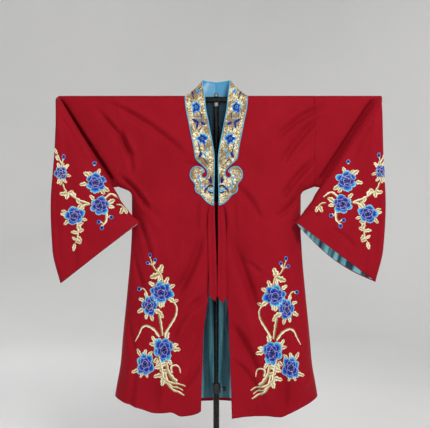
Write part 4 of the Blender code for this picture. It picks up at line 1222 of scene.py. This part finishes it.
def leaf(root, way, length, width, lobes, bend, lift, tone):
    """Leaf or narrow petal in slanted stitches on both sides of its vein, and its outline."""
    along_it, across = np.meshgrid(np.linspace(0.0, 1.0, 13), np.linspace(-1.0, 1.0, 7), indexing="ij")
    place = np.clip(along_it, 0.01, 0.985)
    swell = 1.9 * place**0.62 * (1.0 - place) ** 0.72
    half = 0.5 * width * swell * (1.0 + 0.24 * np.cos(2.0 * np.pi * lobes * along_it + 2.2))
    ahead, aside = aim(way), aim(way + 90.0)
    side_step = half * across + bend * length * np.sin(np.pi * along_it)
    flat = root + ahead * (length * along_it)[..., None] + aside * side_step[..., None]
    rise = lift + FLOSS_DOME * np.sqrt(swell) * (1.0 - across**2) ** 0.5 * (0.72 + 0.28 * np.abs(across))
    slant = length * along_it - 1.1 * half * np.abs(across)
    threads = np.stack([slant, half * across], axis=-1)
    outline = np.concatenate([flat[:, 0], flat[::-1, -1]])
    return (flat, rise, 0.25 + 0.75 * np.abs(across) + 0.0 * half, tone, threads), outline


def line(points, start_width, end_width, lift, shade=None, tone=0.0):
    """Band of slanted satin stitch along a smooth way."""
    middle = along(points, STEM_STEP)
    across = np.linspace(-1.0, 1.0, 5)[None, :]
    ahead = unit(np.gradient(middle, axis=0))
    aside = np.stack([-ahead[:, 1], ahead[:, 0]], axis=-1)
    share = np.linspace(0.0, 1.0, len(middle))[:, None]
    half = 0.5 * (start_width + (end_width - start_width) * share) * (0.55 + 0.45 * np.sin(
        np.pi * np.clip(share, 0.02, 0.98)) ** 0.3)
    half = half * (1.0 + 0.16 * np.sin(STEM_STEP * len(middle) * share / 0.0034 + 900.0 * start_width))
    flat = middle[:, None] + aside[:, None] * (half * across)[..., None]
    rise = lift + FLOSS_DOME * np.sqrt(1.0 - 0.9 * across**2) + 0.0 * half
    reach = np.full(flat.shape[:2], shade) if shade is not None else 0.45 + 0.4 * (across + 0.0 * half)
    threads = np.stack([STEM_STEP * np.arange(len(middle))[:, None] + half * across, half * across], axis=-1)
    return flat, rise, reach, tone, threads


def peony(row, chance, rings=FULL_FLOWER):
    """Rings of petals, the outer ones lowest, and the outlines laid round them."""
    out, drop, half_width, half_height, turn, petals, leaves = row
    middle, size = np.array((out, drop)) / 1000.0, np.array((half_width, half_height)) / 1000.0
    patches, outlines = [], []
    for fewer, reach, spread, lift, tone, ahead in rings:
        count = max(3, petals - fewer)
        for number in range(count):
            way = turn + ahead + 360.0 * number / count + chance.uniform(-PETAL_TURN, PETAL_TURN)
            wide = spread * 360.0 / count * chance.uniform(0.88, 1.06)
            root = middle - aim(way) * size * PETAL_ROOT
            grown = size * reach * chance.uniform(0.86, 1.10)
            lobes = chance.randint(1, 4)
            patch, outline = petal(root, way, wide, grown, lobes, FLOSS_LIFT + lift,
                                   tone + chance.uniform(-PETAL_TONE, PETAL_TONE))
            patches.append(patch)
            outlines.append((outline, FLOSS_LIFT + lift))
    return patches, outlines


def peony_leaves(row, chance):
    """Leaves that stand out from under a flower."""
    out, drop, half_width, half_height, turn, petals, leaves = row
    middle, size = np.array((out, drop)) / 1000.0, np.array((half_width, half_height)) / 1000.0
    grown = []
    for place, length, width in leaves:
        root = middle + aim(place) * size * LEAF_ROOT
        way = place + chance.uniform(-LEAF_TURN, LEAF_TURN)
        grown.append((root, way, length / 1000.0, width / 1000.0))
    return grown


def spray(peonies, stems, buds, seed):
    """All patches of a spray by silk, blue and gold, and the couched outlines round them."""
    chance = np.random.RandomState(seed)
    blue, gold, outlines, leaves = [], [], [], []
    for start, end, points, beside in stems:
        way = np.array(points, float) / 1000.0
        tone = chance.uniform(-0.12, 0.08)
        gold.append(line(way, start / 1000.0, end / 1000.0, FLOSS_LIFT, tone=tone))
        path = along(way, STEM_STEP)
        for share, lean, length, width in beside:
            leaves.append((path[round(share * (len(path) - 1))], lean, length / 1000.0, width / 1000.0))
    for row in peonies:
        leaves += peony_leaves(row, chance)
    for root, way, length, width in leaves:
        patch, outline = leaf(root, way, length, width, chance.randint(2, 4), chance.uniform(-0.08, 0.08),
                              FLOSS_LIFT + 0.0001, chance.uniform(-0.16, 0.10))
        gold.append(patch)
        outlines.append((outline, FLOSS_LIFT))
    for out, drop, half_width, half_height, way in buds:
        root = np.array((out, drop)) / 1000.0 - aim(way) * half_height / 1000.0
        centre = root + aim(way) * half_height / 1000.0
        size = np.array((half_width, half_height)) / 900.0
        for number in range(5):
            blue.append(petal(centre, way + 72.0 * number, 60.0, size, 0, FLOSS_LIFT + 0.0003, 0.02)[0])
        length, width = 0.8 * half_height / 1000.0, 1.2 * half_width / 1000.0
        gold.append(leaf(root - aim(way) * 0.004, way, length, width, 1, 0.0, FLOSS_LIFT + 0.0007, 0.0)[0])
    for row in peonies:
        patches, edges = peony(row, chance)
        blue += patches
        outlines += edges
    return blue, gold, outlines


def laid_on(cloth, shift=(0.0, 0.0)):
    """Gives a function that lays flat places on the face of a cloth that is seen from the front."""
    seen = bpy.context.evaluated_depsgraph_get()
    surface = BVHTree.FromObject(cloth, seen)

    def lay(side, flat, rise):
        """Places laid on the cloth, and which of them met it."""
        laid, held = np.zeros((len(flat), 3)), np.zeros(len(flat), bool)
        for number, ((out, drop), lift) in enumerate(zip(flat, rise)):
            aimed_from = Vector((side * (out + shift[0]), -1.0, BAR_HEIGHT - drop - shift[1]))
            place, normal, _, _ = surface.ray_cast(aimed_from, Vector((0, 1, 0)))
            if place is not None and abs(normal.y) > LEAST_FACING:
                laid[number] = place + normal * (lift if normal.y < 0.0 else -lift)
                held[number] = True
        return laid, held

    return lay


def worked(name, cloth, sides, patches, silk, shift=(0.0, 0.0)):
    """One mesh of patches laid on a cloth, with its threads' directions, reach and tone."""
    lay = laid_on(cloth, shift)
    points, corners, threads, reaches, tones, count = [], [], [], [], [], 0
    for side in sides:
        for flat, rise, reach, tone, thread in patches:
            rows, columns = reach.shape
            laid, held = lay(side, flat.reshape(-1, 2), rise.ravel())
            quads = quads_of(rows, columns, columns - 1).reshape(-1, 4)
            quads = quads[held[quads].all(axis=1)]
            quads = quads[np.ptp(laid[quads][..., 1], axis=1) < EVEN_CLOTH]
            if not len(quads):
                continue
            diagonals = laid[quads[:, 2]] - laid[quads[:, 0]], laid[quads[:, 3]] - laid[quads[:, 1]]
            if np.cross(*diagonals)[:, 1].sum() > 0.0:
                quads = quads[:, ::-1]
            points.append(laid)
            corners.append(quads + count)
            threads.append(thread.reshape(-1, 2))
            reaches.append(reach.ravel())
            tones.append(np.full(reach.size, tone))
            count += len(laid)
    corners, threads = np.concatenate(corners), np.concatenate(threads)
    mesh = mesh_of(name, np.concatenate(points), corners.tolist(), "threads", threads[corners])
    for key, values in (("reach", reaches), ("tone", tones)):
        by_point = np.concatenate(values).astype(np.float32)
        mesh.attributes.new(key, "FLOAT", "POINT").data.foreach_set("value", by_point)
    reworked(mesh, unused_left_out)
    mesh.shade_smooth()
    mesh.materials.append(silk)
    made = linked(name, mesh)
    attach(made, "robe")
    return made


def couched(name, cloth, sides, outlines, shift=(0.0, 0.0)):
    """One mesh of the gold threads that are laid round the motifs of a cloth."""
    lay = laid_on(cloth, shift)
    points, corners, count = [], [], 0
    for side in sides:
        for outline, lift in outlines:
            path = along(outline, COUCHED_STEP)
            laid, held = lay(side, path, np.full(len(path), lift + COUCHED))
            if not held.all() or len(laid) < 4 or np.abs(np.diff(laid[:, 1])).max() > EVEN_CLOTH:
                continue
            quads = quads_of(len(laid), COUCHED_SIDES, COUCHED_SIDES).reshape(-1, 4)
            points.append(tube(laid, COUCHED, COUCHED_SIDES).reshape(-1, 3))
            after = count + COUCHED_SIDES * len(laid)
            corners += [tuple(quad) for quad in (quads + count).tolist()]
            corners.append(tuple(range(count + COUCHED_SIDES - 1, count - 1, -1)))
            corners.append(tuple(range(after - COUCHED_SIDES, after)))
            count = after
    mesh = mesh_of(name, np.concatenate(points), corners)
    reworked(mesh, turned_out)
    mesh.shade_smooth()
    mesh.materials.append(gold_thread)
    made = linked(name, mesh)
    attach(made, "robe")
    return made


for side, name in ((-1, "left"), (1, "right")):
    for part, cloth, rows in (("front", fronts[side], (SPRAY_PEONIES, SPRAY_STEMS, SPRAY_BUDS)),
                              ("sleeve", sleeves[side], (FLAP_PEONIES, FLAP_STEMS, FLAP_BUDS))):
        blue, gold, outlines = spray(*rows, SPRAY_SEED + len(part))
        worked(f"robe_{part}_{name}_golden_silk", cloth, (side,), gold, gold_silk,
                   SPRAY_SHIFT[part, side])
        worked(f"robe_{part}_{name}_blue_silk", cloth, (side,), blue, blue_silk,
                   SPRAY_SHIFT[part, side])
        couched(f"robe_{part}_{name}_gold_thread", cloth, (side,), outlines, SPRAY_SHIFT[part, side])
chance = np.random.RandomState(COLLAR_SEED)
blue = [line(np.array(points, float) / 1000.0, COLLAR_LINE_WIDER * start / 1000.0,
             COLLAR_LINE_WIDER * end / 1000.0, FLOSS_LIFT, shade, 0.0)
        for start, end, shade, points in COLLAR_LINES]
for out, drop, length, width, way, shade in COLLAR_LEAVES:
    blue.append(leaf(np.array((out, drop)) / 1000.0, way, length / 1000.0, COLLAR_LEAF_WIDER * width / 1000.0,
                     0, chance.uniform(-0.1, 0.1), FLOSS_LIFT, shade + COLLAR_LEAF_TONE)[0])
for row in COLLAR_PEONIES:
    blue += peony(row, chance, COLLAR_FLOWER)[0]
worked("robe_collar_blue_silk", collar, (-1, 1), blue, blue_silk)

for side in (-1, 1):
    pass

# Stitches: hand running stitches of red silk along hems, cuffs and front edges, and of pale thread
# on the collar beside its piping. Geometry Nodes set one rounded stitch at each step of a seam.
STITCH_LIFT = 0.0002
COLLAR_STITCHES_IN = 0.0022


def stitched(name, seams, length, gap, radius, seed, thread):
    """One mesh of stitches along seams, each a list of places just off the cloth."""
    ways = bpy.data.meshes.new(name + "_seams")
    places, edges = [], []
    for seam in seams:
        edges += [(len(places) + k, len(places) + k + 1) for k in range(len(seam) - 1)]
        places += np.asarray(seam).tolist()
    ways.from_pydata(places, edges, [])
    made = linked(name, ways)
    tree = bpy.data.node_groups.new(name + "_stitching", "GeometryNodeTree")
    sockets = {"Seams": ("INPUT", "Geometry"), "Stitches": ("OUTPUT", "Geometry")}
    for label, (way, kind) in sockets.items():
        tree.interface.new_socket(label, in_out=way, socket_type="NodeSocket" + kind)
    settings = {"Stitch Length": length, "Gap": gap, "Thread Radius": radius, "Seed": seed}
    for label, value in settings.items():
        kind = "NodeSocketInt" if label == "Seed" else "NodeSocketFloat"
        tree.interface.new_socket(label, in_out="INPUT", socket_type=kind)

    stated = node(tree, "NodeGroupInput").outputs
    full, thick = stated["Stitch Length"], stated["Thread Radius"]
    pitch = calculated(tree, "ADD", full, stated["Gap"])
    curve = node(tree, "GeometryNodeMeshToCurve", {"Mesh": stated["Seams"]}).outputs["Curve"]
    cut = {"Curve": curve, "Length": pitch}
    even = node(tree, "GeometryNodeResampleCurve", cut, mode="LENGTH").outputs[0]
    ball = node(tree, "GeometryNodeMeshUVSphere", {"Segments": 6, "Rings": 4, "Radius": 1.0}).outputs["Mesh"]
    spread = {2: 0.85, 3: 1.12, "Seed": stated["Seed"]}
    uneven = node(tree, "FunctionNodeRandomValue", spread, data_type="FLOAT").outputs[1]
    long_way = calculated(tree, "MULTIPLY", calculated(tree, "MULTIPLY", full, 0.5), uneven)
    size = node(tree, "CombineXYZ", {0: thick, 1: thick, 2: long_way}).outputs[0]
    ahead = node(tree, "GeometryNodeInputTangent").outputs[0]
    turn = node(tree, "FunctionNodeAlignRotationToVector", {"Vector": ahead}, axis="Z").outputs[0]
    placed = {"Points": even, "Instance": ball, "Rotation": turn, "Scale": size}
    set_down = node(tree, "GeometryNodeInstanceOnPoints", placed).outputs[0]
    real = node(tree, "GeometryNodeRealizeInstances", {"Geometry": set_down}).outputs[0]
    dyed = node(tree, "GeometryNodeSetMaterial", {"Geometry": real, "Material": thread}).outputs[0]
    tree.links.new(dyed, node(tree, "NodeGroupOutput").inputs["Stitches"])

    worker = made.modifiers.new("stitching", "NODES")
    worker.node_group = tree
    for item in tree.interface.items_tree:
        if item.name in settings:
            worker[item.identifier] = settings[item.name]
    seen = bpy.context.evaluated_depsgraph_get()
    mesh = bpy.data.meshes.new_from_object(made.evaluated_get(seen), depsgraph=seen)
    made.modifiers.clear()
    made.data = mesh
    mesh.name = name
    mesh.shade_smooth()
    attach(made, "robe")
    return made


def outward(grid, towards):
    """Steps of one metre off a sheet's face, turned to the stated side."""
    facing = np.cross(np.gradient(grid, axis=1), np.gradient(grid, axis=0))
    facing /= np.maximum(np.linalg.norm(facing, axis=2, keepdims=True), 1e-9)
    return facing * np.sign((facing * np.asarray(towards)).sum(axis=2, keepdims=True) + 1e-9)


def sewing_thread(name, dark, light):
    """Thread that is dyed a little unevenly."""
    made, tree, shader = finish_of(name, roughness=0.5)
    fed(tree, shader, base_color=blended(tree, noise(tree, object_place(tree), 300.0), dark, light))
    return made


red_thread = sewing_thread("red_silk_thread", (0.150, 0.003, 0.008), (0.330, 0.008, 0.020))
pale_thread = sewing_thread("pale_silk_thread", (0.42, 0.36, 0.22), (0.70, 0.64, 0.44))

seams = []
raised = 0.5 * CLOTH + STITCH_LIFT
for side in (-1, 1):
    grid = front_grids[side]
    off = grid + outward(grid, (0.0, -1.0, 0.0)) * raised
    seams.append(off[-2, 3:-3])
    seams.append(off[len(bar_turn) + 60:-2, 1])
    grid = sleeve_grids[side]
    middle = grid - grid.mean(axis=1, keepdims=True)
    round_grid, round_middle = (np.concatenate([rows, rows[:, :1]], axis=1) for rows in (grid, middle))
    off = grid + outward(round_grid, round_middle)[:, :-1] * raised
    seams.append(np.concatenate([off[-3], off[-3, :1]]))
off = back_grid + outward(back_grid, (0.0, 1.0, 0.0)) * raised
seams.append(off[-2, 3:-3])
stitched("robe_red_stitches", seams, length=0.0032, gap=0.0026, radius=0.00024, seed=3, thread=red_thread)
line_in = collar_outline(2.0 * PIPING_RADIUS + COLLAR_STITCHES_IN)[12:-12]
seams = [collar_place(side, line_in, COLLAR_LIFT + 0.5 * COLLAR + STITCH_LIFT) for side in (-1, 1)]
pale_stitches = stitched("robe_collar_stitches", seams, length=0.0028, gap=0.0020, radius=0.00026, seed=4,
                         thread=pale_thread)
